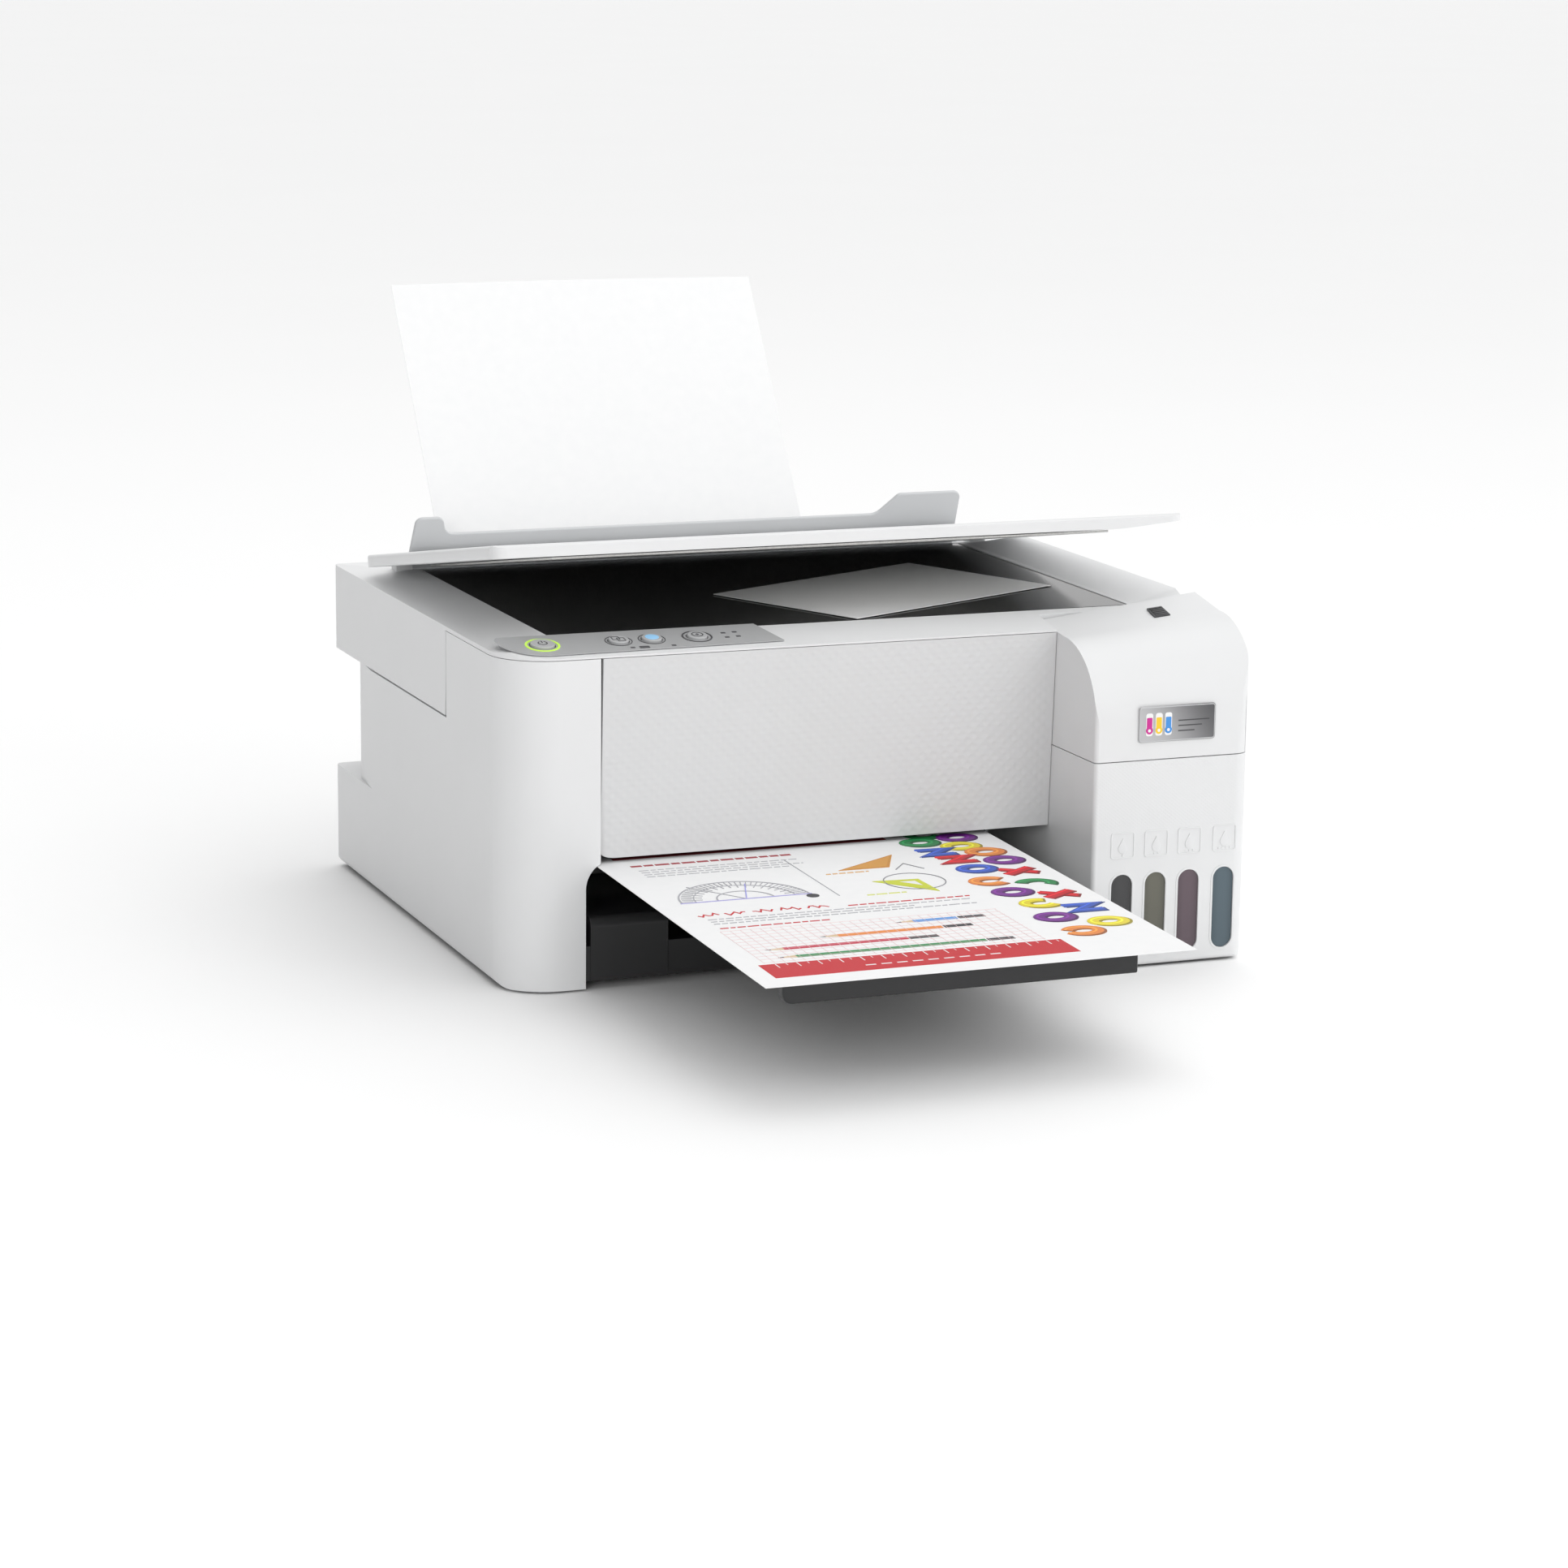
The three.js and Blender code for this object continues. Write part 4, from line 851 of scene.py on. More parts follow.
class PRINTER_OT_casing(PrinterOperator, bpy.types.Operator):
    """Housings, rear cover, base, feet and sockets"""

    bl_idname = "printer.casing"
    bl_label = "Casing"

    def execute(self, context):
        edge = self.sizes.edge
        finished("left_housing", edge)
        finished("right_housing", edge, tank_front_plastic())
        finished("rear_cover", edge)
        finished("base_frame", edge)
        finished("ac_inlet", 0.5 * MM)
        finished("usb_port", 0.4 * MM)
        for node in sorted(n for n in frame["nodes"] if n.startswith("foot_")):
            finished(node, 1.2 * MM)
        self.inlet_pins()
        self.screws()
        return {"FINISHED"}

    def inlet_pins(self):
        """Two flat pins in the mains inlet, and the tongue of the data socket."""
        sunk = -0.6  # how far each of them starts inside its socket's floor
        inlet, pin_gap, pin = middle("ac_inlet"), 4.3, 1.1
        pins = rear_face(HOUSING_REAR - 17.5)
        for side in (-1, 1):
            u = -inlet.x + side * pin_gap
            pins.plate(box_outline(u - pin, inlet.z - pin, u + pin, inlet.z + pin, 0.9), sunk, 11)
        pins.piece("inlet_pins", steel(), "root", "steel", 0.2)
        data, wide, tall = middle("usb_port"), 2.7, 1.6
        tongue = rear_face(HOUSING_REAR - 13.5)
        outline = box_outline(-data.x - wide, data.z - tall, -data.x + wide, data.z + tall, 0.4)
        tongue.plate(outline, sunk, 8)
        tongue.piece("data_tongue", dark_plastic(), "root", "dark_grey", 0.2)

    def screws(self):
        """Rows of cross-head screws that hold the rear cover."""
        tree = Tree(
            "rear screws", Columns=self.sizes.screws, Radius=2.7 * MM, Head=steel(), Recess=dark_plastic()
        )
        columns, radius = tree.inputs["Columns"], tree.inputs["Radius"]
        sides, thickness = 24, 0.9 * MM
        rim = tree.add(
            "GeometryNodeMeshCylinder", None,
            {"Vertices": sides, "Radius": radius, "Depth": thickness}, out="Mesh",
        )
        dome = tree.add(
            "GeometryNodeMeshCone", None,
            {"Vertices": sides, "Radius Bottom": radius, "Radius Top": radius * 0.62, "Depth": 0.5 * MM},
            out="Mesh",
        )
        dome = tree.moved(dome, tree.vector(z=thickness / 2))
        head = tree.faced(tree.join(rim, dome), tree.inputs["Head"])
        long, narrow, deep = 2.6 * MM, 0.55 * MM, 0.3 * MM
        bars = []
        for size in ((long, narrow, deep), (narrow, long, deep)):
            bar = tree.add("GeometryNodeMeshCube", None, {"Size": size}, out="Mesh")
            bars.append(tree.moved(bar, tree.vector(z=0.88 * MM)))
        cross = tree.faced(tree.join(*bars), tree.inputs["Recess"])
        points = grid_points(tree, columns, 2, 84 * MM, 74 * MM)
        mesh = tree.mesh(tree.repeat(tree.join(head, cross), points), None)
        middle_of_cover = Matrix.Translation(at(0, HOUSING_REAR + 0.2, 62))
        mesh.transform(middle_of_cover @ Matrix.Rotation(math.radians(-90), 4, "X"))
        smooth(mesh, 25)
        piece("rear_screws", mesh, None, "root")


class PRINTER_OT_front_panel(PrinterOperator, bpy.types.Operator):
    """The front panel, with its field of small facets"""

    bl_idname = "printer.front_panel"
    bl_label = "Front panel"

    def execute(self, context):
        low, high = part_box("front_panel")
        low.z -= 0.7 * MM  # its lower edge laps the sill's top edge
        width, height = high.x - low.x, high.z - low.z
        thickness, lean = 2.4 * MM, 5.0 * MM
        sizes, steps_per_facet = self.sizes, 8
        steps_x = round(width / sizes.pitch * steps_per_facet)
        steps_z = round(height / sizes.rise * steps_per_facet)
        tree = Tree(
            "panel facets", Width=width, Height=height, Thickness=thickness, Pitch=sizes.pitch,
            Rise=sizes.rise, Relief=sizes.relief, Border=1.6 * MM, Lean=lean,
        )
        i = tree.inputs
        slab = tree.add(
            "GeometryNodeMeshCube", None,
            {"Size": tree.vector(i["Width"], i["Thickness"], i["Height"]),
             "Vertices X": steps_x + 1, "Vertices Y": 2, "Vertices Z": steps_z + 1}, out="Mesh",
        )
        x, y, z = tree.parts(tree.add("GeometryNodeInputPosition"))
        across, up = x / i["Pitch"], z / i["Rise"]
        facet = (across + up).wave().least((across - up).wave())
        to_side = (i["Width"] / 2 - abs(x)).least(i["Height"] / 2 - abs(z))
        inside = (to_side / i["Border"]).ramp(0.4, 1.4)
        front = y < 0.0
        sunk = facet * inside * front * i["Relief"]
        leaning = i["Lean"] * (0.5 - z / i["Height"])
        shaped = tree.add(
            "GeometryNodeSetPosition", None, {"Geometry": slab, "Offset": tree.vector(y=sunk + leaning)}
        )
        mesh = tree.mesh(shaped, None)
        centre = (low + high) / 2
        centre.y = low.y + thickness / 2
        mesh.transform(Matrix.Translation(centre))
        bm = form_of(mesh)
        self.round_corner(bm, low.x, low.z, 8 * MM, 3.4 * MM)
        self.plain_back(bm)
        mesh = rounded(bm, 0.45 * MM, least=60)
        piece("front_panel_faceted", mesh, panel_plastic(), "root", ["front_panel"])
        return {"FINISHED"}

    def round_corner(self, bm, x0, z0, width, height):
        """Draws the rectangle at the lower left corner into a quarter of an ellipse."""
        for vert in bm.verts:
            p = 1 - (vert.co.x - x0) / width
            q = 1 - (vert.co.z - z0) / height
            if p > 0 and q > 0:
                vert.co.x = x0 + width * (1 - p * math.sqrt(1 - q * q / 2))
                vert.co.z = z0 + height * (1 - q * math.sqrt(1 - p * p / 2))

    def plain_back(self, bm):
        """One flat face in place of the back's many."""
        bm.normal_update()
        back = {f for f in bm.faces if f.normal.y > 0.9}
        edges = [e for e in bm.edges if all(f in back for f in e.link_faces)]
        bmesh.ops.dissolve_edges(bm, edges=edges, use_verts=False, use_face_split=False)


class PRINTER_OT_ink_system(PrinterOperator, bpy.types.Operator):
    """Ink tanks, caps, window rims, colour marks, tank cover and its plate"""

    bl_idname = "printer.ink_system"
    bl_label = "Ink system"

    def execute(self, context):
        for tank in TANKS:
            finished("ink_tank_" + tank, 0.5 * MM, tank_wall(tank))
            finished("tank_cap_" + tank, 0.6 * MM)
        finished("tank_bezel", 0.5 * MM)
        shoulder_x, shoulder_z = (BAY_LEFT + 1.5) * MM, (BAY_SEAM_Z + 3) * MM

        def left_shoulder(centre, _):
            return centre.x < shoulder_x and centre.z > shoulder_z

        finished(
            "ink_tank_cover", self.sizes.shoulder, wide=left_shoulder, share=0.16, segments=5, least=24
        )
        self.windows()
        self.marks()
        self.plate()
        self.badge()
        return {"FINISHED"}

    def windows(self):
        """A fine lip round each ink window."""
        rims = front_face(BAY_FRONT)
        half_width, foot_z, top_z, turn = 6.3, 6.7, 49.3, 6.25
        for tank in TANKS:
            x = middle("ink_tank_" + tank).x
            outline = box_outline(x - half_width, foot_z, x + half_width, top_z, turn, 10)
            rims.ribbon(outline, 1.1, -0.9, 0.28, closed=True)
        rims.piece("window_rims", shell_plastic(), "root", "shell", 0.2)

    def marks(self):
        """A framed tile over each window, with a drop on it and one to four dots that number the tank."""
        tiles = front_face(BAY_FRONT)
        z, half_width, half_height, dot_pitch = 63.5, 6.2, 6.4, 2.1
        low, high = -0.3, 0.3
        for number, tank in enumerate(TANKS):
            x = middle("ink_tank_" + tank).x
            frame_line = box_outline(x - half_width, z - half_height, x + half_width, z + half_height, 1.2)
            tiles.ribbon(frame_line, 0.7, low, high, closed=True)
            tiles.plate(drop(x, z - 1.6, 2.5), low, high + 0.04)
            for dot in range(number + 1):
                u = x + (dot - number / 2) * dot_pitch
                tiles.plate(arc(u, z - 5.0, 0.45, 0, 330, 11), low, high)
        tiles.piece("colour_marks", shell_plastic(), "root", "shell", 0.15)

    def plate(self):
        """The silver plate on the tank cover, with a raised rim, three little bottles and three lines."""
        finished("cover_plate", 0.25 * MM)
        low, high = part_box("cover_plate")
        face = low.y / MM - SHIFT
        x0, z0 = low.x / MM, low.z / MM
        width, height = (high.x - low.x) / MM, (high.z - low.z) / MM
        sunk, inset = -0.1, 0.5
        rim = front_face(face)
        outline = box_outline(x0 + inset, z0 + inset, x0 + width - inset, z0 + height - inset, 1.1)
        rim.ribbon(outline, 0.5, sunk, 0.12, closed=True)
        rim.piece("plate_rim", steel(), "tank_cover", "steel", 0.1)
        art = front_face(face)
        inks = ((0.62, 0.02, 0.30), (0.95, 0.62, 0.03), (0.06, 0.30, 0.75))
        white, print_black = (0.9, 0.9, 0.9), (0.06, 0.06, 0.065)
        first_bottle, bottle_pitch = x0 + 5.6, 5.2
        for k, tint in enumerate(inks):
            u = first_bottle + bottle_pitch * k
            art.plate(box_outline(u - 1.9, z0 + 3.2, u + 1.9, z0 + 14.6, 1.2), sunk, 0.10, white)
            art.plate(box_outline(u - 1.5, z0 + 6.2, u + 1.5, z0 + 12.4, 0.5), 0.0, 0.16, tint)
            art.plate(drop(u, z0 + 6.0, 1.9), 0.0, 0.2, tint)
            art.plate(arc(u, z0 + 5.9, 0.8, 0, 340, 14), 0.05, 0.26, white)
        lines_left, top_line, line_pitch = x0 + 21.5, z0 + 10.2, 2.6
        for k, reach in enumerate((17, 13, 9)):
            v = top_line - line_pitch * k
            art.ribbon([(lines_left, v), (lines_left + reach, v)], 0.55, sunk, 0.1, print_black)
        art.piece("plate_art", printed_ink(), "tank_cover", "plate")

    def badge(self):
        """A small slatted grille let into the top of the cover."""
        slope = (COVER_RISE[1] - COVER_RISE[0]) / (SIDE - BAY_LEFT)
        rise_to_back = 0.165
        x, y = 153.5, -131
        z = COVER_RISE[0] + slope * (x - BAY_LEFT) + 0.55
        grille = Relief(at(x, y, z), (1, 0, slope), (0, 1, rise_to_back))
        grille.plate([(-0.2, 0), (8.6, 0), (9.6, 12.5), (1.4, 12.5)], -1.5, 0.3)
        slats, slat_pitch, lean = 5, 2.3, 0.1
        for k in range(slats):
            v = 1.6 + slat_pitch * k
            shift = v * lean
            grille.ribbon([(0.9 + shift, v), (7.9 + shift, v)], 1.0, 0.1, 0.6)
        grille.piece("cover_badge", dark_plastic(), "tank_cover", "dark_grey", 0.12)


class PRINTER_OT_scanner(PrinterOperator, bpy.types.Operator):
    """Scanner deck, tub, glass, scan bar, the card on the glass, and the document cover"""

    bl_idname = "printer.scanner"
    bl_label = "Scanner"

    def execute(self, context):
        edge = self.sizes.edge
        rim_z = 163.0 * MM

        def upper_rim(centre, _):
            return centre.z > rim_z

        finished("scanner_deck", 1.3 * MM, wide=upper_rim, share=0.5)
        finished("scanner_tub", edge)
        finished("scanner_glass", 0.4 * MM)
        finished("scan_bar", 0.8 * MM)
        finished("scan_rail", 0.3 * MM)
        finished("original_card", 0.12 * MM, card_stock())
        finished("document_cover", 0.9 * MM)
        pad = finished("lid_pad", 0.45 * MM)
        self.lamp_strip()
        self.hinge_posts()
        return {"FINISHED"}

    def lamp_strip(self):
        """The light guide and the lens row on top of the scan bar."""
        low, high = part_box("scan_bar")
        top = high.z / MM
        margin = 6
        x0, y0, y1 = low.x / MM, low.y / MM - SHIFT + margin, high.y / MM - SHIFT - margin
        guide_x, lens_x = x0 + 6, x0 + 12
        guide = top_face(top)
        guide.ribbon([(guide_x, y0), (guide_x, y1)], 3.2, -0.4, 0.7)
        guide.piece("scan_lamp", lamp(0.75, 0.9, 0.8, 0.15), "scan_bar", None, 0.3)
        lenses = top_face(top)
        count, end_gap = 42, 4
        for k in range(count):
            v = y0 + end_gap + (y1 - y0 - 2 * end_gap) * k / (count - 1)
            lenses.plate(arc(lens_x, v, 1.7, 0, 324, 9), -0.3, 0.5)
        lenses.piece("scan_lenses", scanner_pane(), "scan_bar", "scanner_glass", 0.2)

    def hinge_posts(self):
        """The two hinge posts that carry the document cover."""
        posts = Relief(at(0, LID_HINGE[0] + 2.6, 0), (0, 1, 0), (0, 0, 1))
        foot_z, width = 166.5, 9
        crown = arc(4.5, LID_HINGE[1] - 2.5, 4.2, 0, 180, 12)
        for x in (-168, 164):
            posts.plate([(-1.6, foot_z), (9.5, foot_z), (9.5, foot_z + 6), *crown], x, x + width)
        posts.piece("lid_hinge_posts", shell_plastic(), "scanner_unit", "shell", 0.6)


class PRINTER_OT_controls(PrinterOperator, bpy.types.Operator):
    """Control film, buttons, their rings and their marks"""

    bl_idname = "printer.controls"
    bl_label = "Controls"

    def execute(self, context):
        finished("control_film", 0.18 * MM)
        places = {}
        for name in BUTTONS:
            finished(name, 0.45 * MM)
            places[name] = middle(name).x
        row, face, cap = 17.0, 0.9, 2.1  # up the strip; out to the film's face; out to a cap's face
        glow = strip_face()
        glow.ring(places["power_button"], row, 8.0, 1.2, face - 0.3, face + 0.3)
        glow.piece("power_glow", lamp(*colours().glow, 0.35), "scanner_unit", None, 0.15)
        rings = strip_face()
        for name, radius, width in (
            ("copy_mono_button", 6.6, 0.4), ("copy_colour_button", 6.6, 0.4), ("stop_button", 7.2, 0.8),
        ):
            rings.ring(places[name], row, radius, width, face - 0.3, face + 0.25)
        marks = ((-70, 20), (-64, 20.5), (-70, 14), (-64, 14.5), (-121, 7.2), (-100, 7.2))
        for u, v in marks:
            rings.plate(box_outline(u - 1.2, v - 0.8, u + 1.2, v + 0.8, 0.4), face - 0.3, face + 0.15)
        rings.plate(box_outline(-117.6, 5.6, -112.6, 8.2, 0.5), face - 0.3, face + 0.2)
        rings.piece("control_rings", icon_paint(), "scanner_unit", "control_film", 0.06)
        blue = strip_face()
        blue.plate(arc(places["copy_colour_button"], row, 3.4, 0, 350, 35), cap - 0.3, cap + 0.12)
        blue.piece("colour_lamp", lamp(0.30, 0.58, 0.86, 0.25), "copy_colour_button", None, 0.05)
        self.icons(places, row, cap)
        return {"FINISHED"}

    def icons(self, places, row, cap):
        """The marks on the caps: a switch, two sheets and a stop sign."""
        low, high = cap - 0.3, cap + 0.12
        x, line = places["power_button"], 0.55
        power = strip_face()
        power.ribbon(arc(x, row, 2.2, 120, 420, 20), line, low, high)
        power.ribbon([(x, row + 0.4), (x, row + 2.9)], line, low, high)
        power.piece("power_icon", icon_paint(), "power_button", "control_film")
        x = places["copy_mono_button"]
        pages = strip_face()
        for u, v in ((x - 1.4, row + 0.9), (x + 0.9, row - 0.9)):
            sheet = box_outline(u - 1.8, v - 2.0, u + 1.8, v + 2.0, 0.3)
            pages.ribbon(sheet, 0.45, low, high, closed=True)
        pages.piece("copy_icon", icon_paint(), "copy_mono_button", "control_film")
        x = places["stop_button"]
        stop = strip_face()
        stop.ring(x, row, 2.7, 0.6, low, high)
        stop.plate([(x - 1.1, row), (x, row - 1.2), (x + 1.1, row), (x, row + 1.2)], low, high)
        stop.piece("stop_icon", icon_paint(), "stop_button", "control_film")


class PRINTER_OT_feeder(PrinterOperator, bpy.types.Operator):
    """Feeder guard, chute, paper support, edge guide and the sheet in them"""

    bl_idname = "printer.feeder"
    bl_label = "Feeder"

    def execute(self, context):
        finished("feeder_guard", 0.8 * MM)
        finished("feeder_chute", 0.5 * MM)
        finished("paper_support", 0.8 * MM)
        finished("edge_guide", 0.7 * MM)
        self.sheet()
        self.ribs()
        return {"FINISHED"}

    def sheet(self):
        """The loaded sheet: a little bowed, with its free corners drawn back."""
        low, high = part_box("loaded_sheet")
        steps_x, steps_up = 28, 40
        length, thickness, bow = 297.0, 0.3, 1.6
        held = 0.42  # the share of its length that the support keeps flat
        bm = bmesh.new()
        rows = []
        for side in (0, 1):
            grid = []
            for j in range(steps_up + 1):
                v = j / steps_up
                line = []
                for i in range(steps_x + 1):
                    u = i / steps_x
                    free = max(0.0, (v - held) / (1 - held)) ** 2
                    back = side * thickness - bow * free * (1 - (2 * u - 1) ** 2)
                    up, out = length * v, back
                    y = FEED_FOOT[0] + up * math.sin(FEED_LEAN) + out * math.cos(FEED_LEAN)
                    z = FEED_FOOT[1] + up * math.cos(FEED_LEAN) - out * math.sin(FEED_LEAN)
                    point = at(0, y, z)
                    point.x = low.x + (high.x - low.x) * u
                    line.append(bm.verts.new(point))
                grid.append(line)
            rows.append(grid)
        front, back = rows
        for j in range(steps_up):
            for i in range(steps_x):
                bm.faces.new([front[j][i], front[j][i + 1], front[j + 1][i + 1], front[j + 1][i]])
                bm.faces.new([back[j][i], back[j + 1][i], back[j + 1][i + 1], back[j][i + 1]])
        border = [(0, i) for i in range(steps_x)] + [(j, steps_x) for j in range(steps_up)]
        border += [(steps_up, i) for i in range(steps_x, 0, -1)] + [(j, 0) for j in range(steps_up, 0, -1)]
        for (j0, i0), (j1, i1) in zip(border, border[1:] + border[:1]):
            bm.faces.new([front[j0][i0], back[j0][i0], back[j1][i1], front[j1][i1]])
        bmesh.ops.recalc_face_normals(bm, faces=bm.faces)
        mesh = mesh_of(bm, "sheet")
        smooth(mesh)
        piece("loaded_sheet_bowed", mesh, paper(), "root", ["loaded_sheet"])

    def ribs(self):
        """Raised ribs down the back of the paper support."""
        up = Vector((0, math.sin(FEED_LEAN), math.cos(FEED_LEAN)))
        foot = at(0, FEED_FOOT[0], FEED_FOOT[1])
        face = Relief(foot, (-1, 0, 0), up)
        rib_low, rib_high = 150, 244
        for x in (-80, -56, -8, 16):
            face.ribbon([(-x, rib_low), (-x, rib_high)], 2.2, 5.7, 6.5)
        face.piece("support_ribs", guard_plastic(), "paper_support", "guard_grey", 0.3)


class PRINTER_OT_output(PrinterOperator, bpy.types.Operator):
    """Output tray, its extension, and the printed page"""

    bl_idname = "printer.output"
    bl_label = "Output"

    def execute(self, context):
        finished("output_tray", 0.6 * MM)
        finished("tray_extension", 1.0 * MM)
        finished("printed_page", 0.1 * MM)
        self.runners()
        self.print_page()
        return {"FINISHED"}

    def runners(self):
        """Low runners along the tray extension, which the sheets slide on."""
        tree = Tree(
            "tray runners", Count=7, Spacing=23 * MM, Length=118 * MM, Width=1.8 * MM, Height=0.9 * MM,
            Finish=black_plastic(),
        )
        i = tree.inputs
        size = tree.vector(i["Width"], i["Length"], i["Height"])
        runner = tree.add("GeometryNodeMeshCube", None, {"Size": size}, out="Mesh")
        points = grid_points(tree, i["Count"], 1, i["Spacing"], i["Spacing"])
        mesh = tree.mesh(tree.repeat(runner, points), i["Finish"])
        low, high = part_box("tray_extension")
        mesh.transform(Matrix.Translation(((low.x + high.x) / 2, low.y + 72 * MM, low.z + 3.4 * MM)))
        runners = rounded(form_of(mesh), 0.35 * MM)
        piece("tray_runners", runners, black_plastic(), "tray_extension")

    def print_page(self):
        """The print on the page, which slopes down to the front."""
        low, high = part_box("printed_page")
        fall = Vector((0, low.y - high.y, low.z - high.z + 0.3 * MM))
        origin = Vector((low.x, high.y, high.z))
        page = Relief(origin, (1, 0, 0), -fall)
        ink = PagePrint(page)
        for draw in (
            ink.ruler, ink.pencils, ink.grid, ink.headings, ink.protractor, ink.set_squares, ink.charms,
        ):
            draw()
        page.piece("page_print", printed_ink(), "root", "paper")


class PagePrint:
    """The print on the page: u from its left edge, v back from its rear edge, both in millimetres."""

    RED = (0.58, 0.002, 0.012)
    DARK_RED = (0.20, 0.01, 0.015)
    GREY = (0.42, 0.42, 0.45)
    PINK = (0.85, 0.62, 0.63)
    INK = (0.03, 0.03, 0.035)
    WHITE = (0.88, 0.88, 0.88)
    BLUE = (0.03, 0.09, 0.48)
    ORANGE = (0.80, 0.24, 0.04)
    PURPLE = (0.16, 0.015, 0.24)
    YELLOW = (0.80, 0.66, 0.02)
    GREEN = (0.02, 0.24, 0.07)
    SKY = (0.08, 0.30, 0.72)

    def __init__(self, page):
        self.page = page
        self.draw = random.Random(7)
        self.layer = 0

    def _heights(self):
        """Each new shape lies a hair over the last, so that no two faces share a plane."""
        self.layer += 1
        return 0.001, 0.05 + 0.0006 * self.layer

    def fill(self, outline, tint):
        """A patch of one colour."""
        self.page.plate([(u, -v) for u, v in outline], *self._heights(), tint)

    def line(self, points, width, tint, closed=False):
        """A line of one colour."""
        self.page.ribbon([(u, -v) for u, v in points], width, *self._heights(), tint, closed)

    def ruler(self):
        """A red ruler along the front edge, with long and short divisions."""
        top, pitch = 262, 10.2
        self.fill(box_outline(10, top, 158, 284), self.RED)
        for k in range(14):
            u = 18 + pitch * k
            self.line([(u, top + 0.6), (u, top + 6.5)], 0.6, self.WHITE)
            self.line([(u + pitch / 2, top + 0.6), (u + pitch / 2, top + 3.4)], 0.4, self.WHITE)
        for k in range(9):
            self.line([(56 + 7.6 * k, 276), (61 + 7.6 * k, 276)], 1.3, self.WHITE)

    def pencils(self):
        """Four pencils: each row gives v, the tip, the start of the dark end, the end, and a colour."""
        wood, lead = (0.72, 0.55, 0.34), (0.10, 0.08, 0.08)
        rows = (
            (213, 97, 128, 142, self.SKY), (226, 54, 115, 130, self.ORANGE),
            (239.5, 22, 92, 107, (0.55, 0.01, 0.05)), (253, 23, 125, 139, self.GREEN),
        )
        half = 1.9
        for v, tip, dark, end, tint in rows:
            neck = tip + 9
            self.fill([(tip, v), (neck, v - half), (neck, v + half)], wood)
            self.fill([(tip, v), (tip + 3, v - 0.7), (tip + 3, v + 0.7)], lead)
            self.fill(box_outline(neck, v - half, dark, v + half), tint)
            self.line([(neck, v - 0.6), (dark, v - 0.6)], 0.5, toned(tint, 1.5))
            self.fill(box_outline(dark + 0.8, v - half, end, v + half), self.INK)

    def grid(self):
        """Pale squared lines."""
        for k in range(29):
            u = 14 + 4.9 * k
            self.line([(u, 204), (u, 260)], 0.22, self.PINK)
        for k in range(12):
            v = 204 + 5.0 * k
            self.line([(14, v), (152, v)], 0.22, self.PINK)

    def words(self, u, v, reach, width, tint, size=(2.2, 5.5)):
        """A row of short strokes, as text looks from far off."""
        while u < reach:
            step = self.draw.uniform(*size)
            self.line([(u, v), (min(u + step, reach), v)], width, tint)
            u += step + 1.1

    def headings(self):
        """A dark band, a row of loops in place of a heading, and rows of strokes in place of words."""
        self.fill(box_outline(11, 57, 155, 65), self.DARK_RED)
        steps = range(40)
        squiggle = [(14 + 1.7 * k, 175 + 2.1 * math.sin(k * 2.2) + 0.8 * math.sin(k * 0.9)) for k in steps]
        for start in steps[::8]:
            self.line(squiggle[start:start + 7], 1.0, self.RED)
        self.words(15, 79, 98, 2.6, (0.40, 0.04, 0.05), (4, 9))
        for k in range(4):
            self.words(16, 88 + 4 * k, 98 - 9 * (k % 2), 0.8, self.GREY)
        for k in range(3):
            self.words(16, 183 + 4 * k, 148 - 30 * (k % 2), 0.8, self.GREY)
        self.words(16, 199, 70, 1.0, self.RED)
        self.words(88, 178, 150, 1.0, self.RED)
        self.line([(91, 88), (91, 160)], 0.35, self.GREY)

    def protractor(self):
        """Half a circle with its divisions, a base line and two rays."""
        u, v = 47, 152
        for radius, width in ((32, 0.8), (25, 0.5), (14, 0.7)):
            self.line(arc(u, v, radius, 180, 360, 40), width, self.GREY)
        for k in range(37):
            turn = math.radians(180 + 5 * k)
            inner = 26 if k % 2 else 21
            ends = [(u + r * math.cos(turn), v + r * math.sin(turn)) for r in (inner, 31)]
            self.line(ends, 0.45, self.GREY)
        self.line([(u - 33, v), (u + 33, v)], 0.9, (0.42, 0.40, 0.72))
        self.line([(u, v), (u + 9, v - 26)], 0.5, (0.35, 0.35, 0.8))
        self.line([(u, v), (u - 20, v - 28)], 0.4, self.GREY)
        self.fill(arc(79, 156, 3.1, 0, 345, 23), self.INK)

    def set_squares(self):
        """Two set squares, a circle and an angle."""
        square = [(112, 115), (143, 97), (134, 115)]
        self.line(square, 3.0, (0.62, 0.27, 0.03), closed=True)
        self.fill(square, (0.70, 0.33, 0.05))
        self.fill([(116, 140), (139, 142), (140, 166)], (0.62, 0.68, 0.03))
        self.fill([(128, 144.5), (136, 145), (136.5, 154)], self.WHITE)
        self.line(arc(136, 145, 15, 0, 350, 40), 0.5, (0.25, 0.25, 0.27), closed=True)
        self.line([(136, 122), (144, 112), (150, 124)], 0.5, (0.25, 0.25, 0.27))
        self.words(100, 121, 122, 1.2, (0.75, 0.45, 0.2))
        self.words(104, 163, 124, 1.2, (0.70, 0.74, 0.2))

    def stroke(self, points, tint, whole=False):
        """A fat line with a dark edge below it and a light one along its top."""
        layers = ((0.9, 0.9, 5.6, toned(tint, 0.4)), (0, 0, 5.4, tint), (-0.6, -0.8, 1.1, toned(tint, 1.7)))
        for across, back, width, shade in layers:
            self.line([(u + across, v + back) for u, v in points], width, shade, whole)

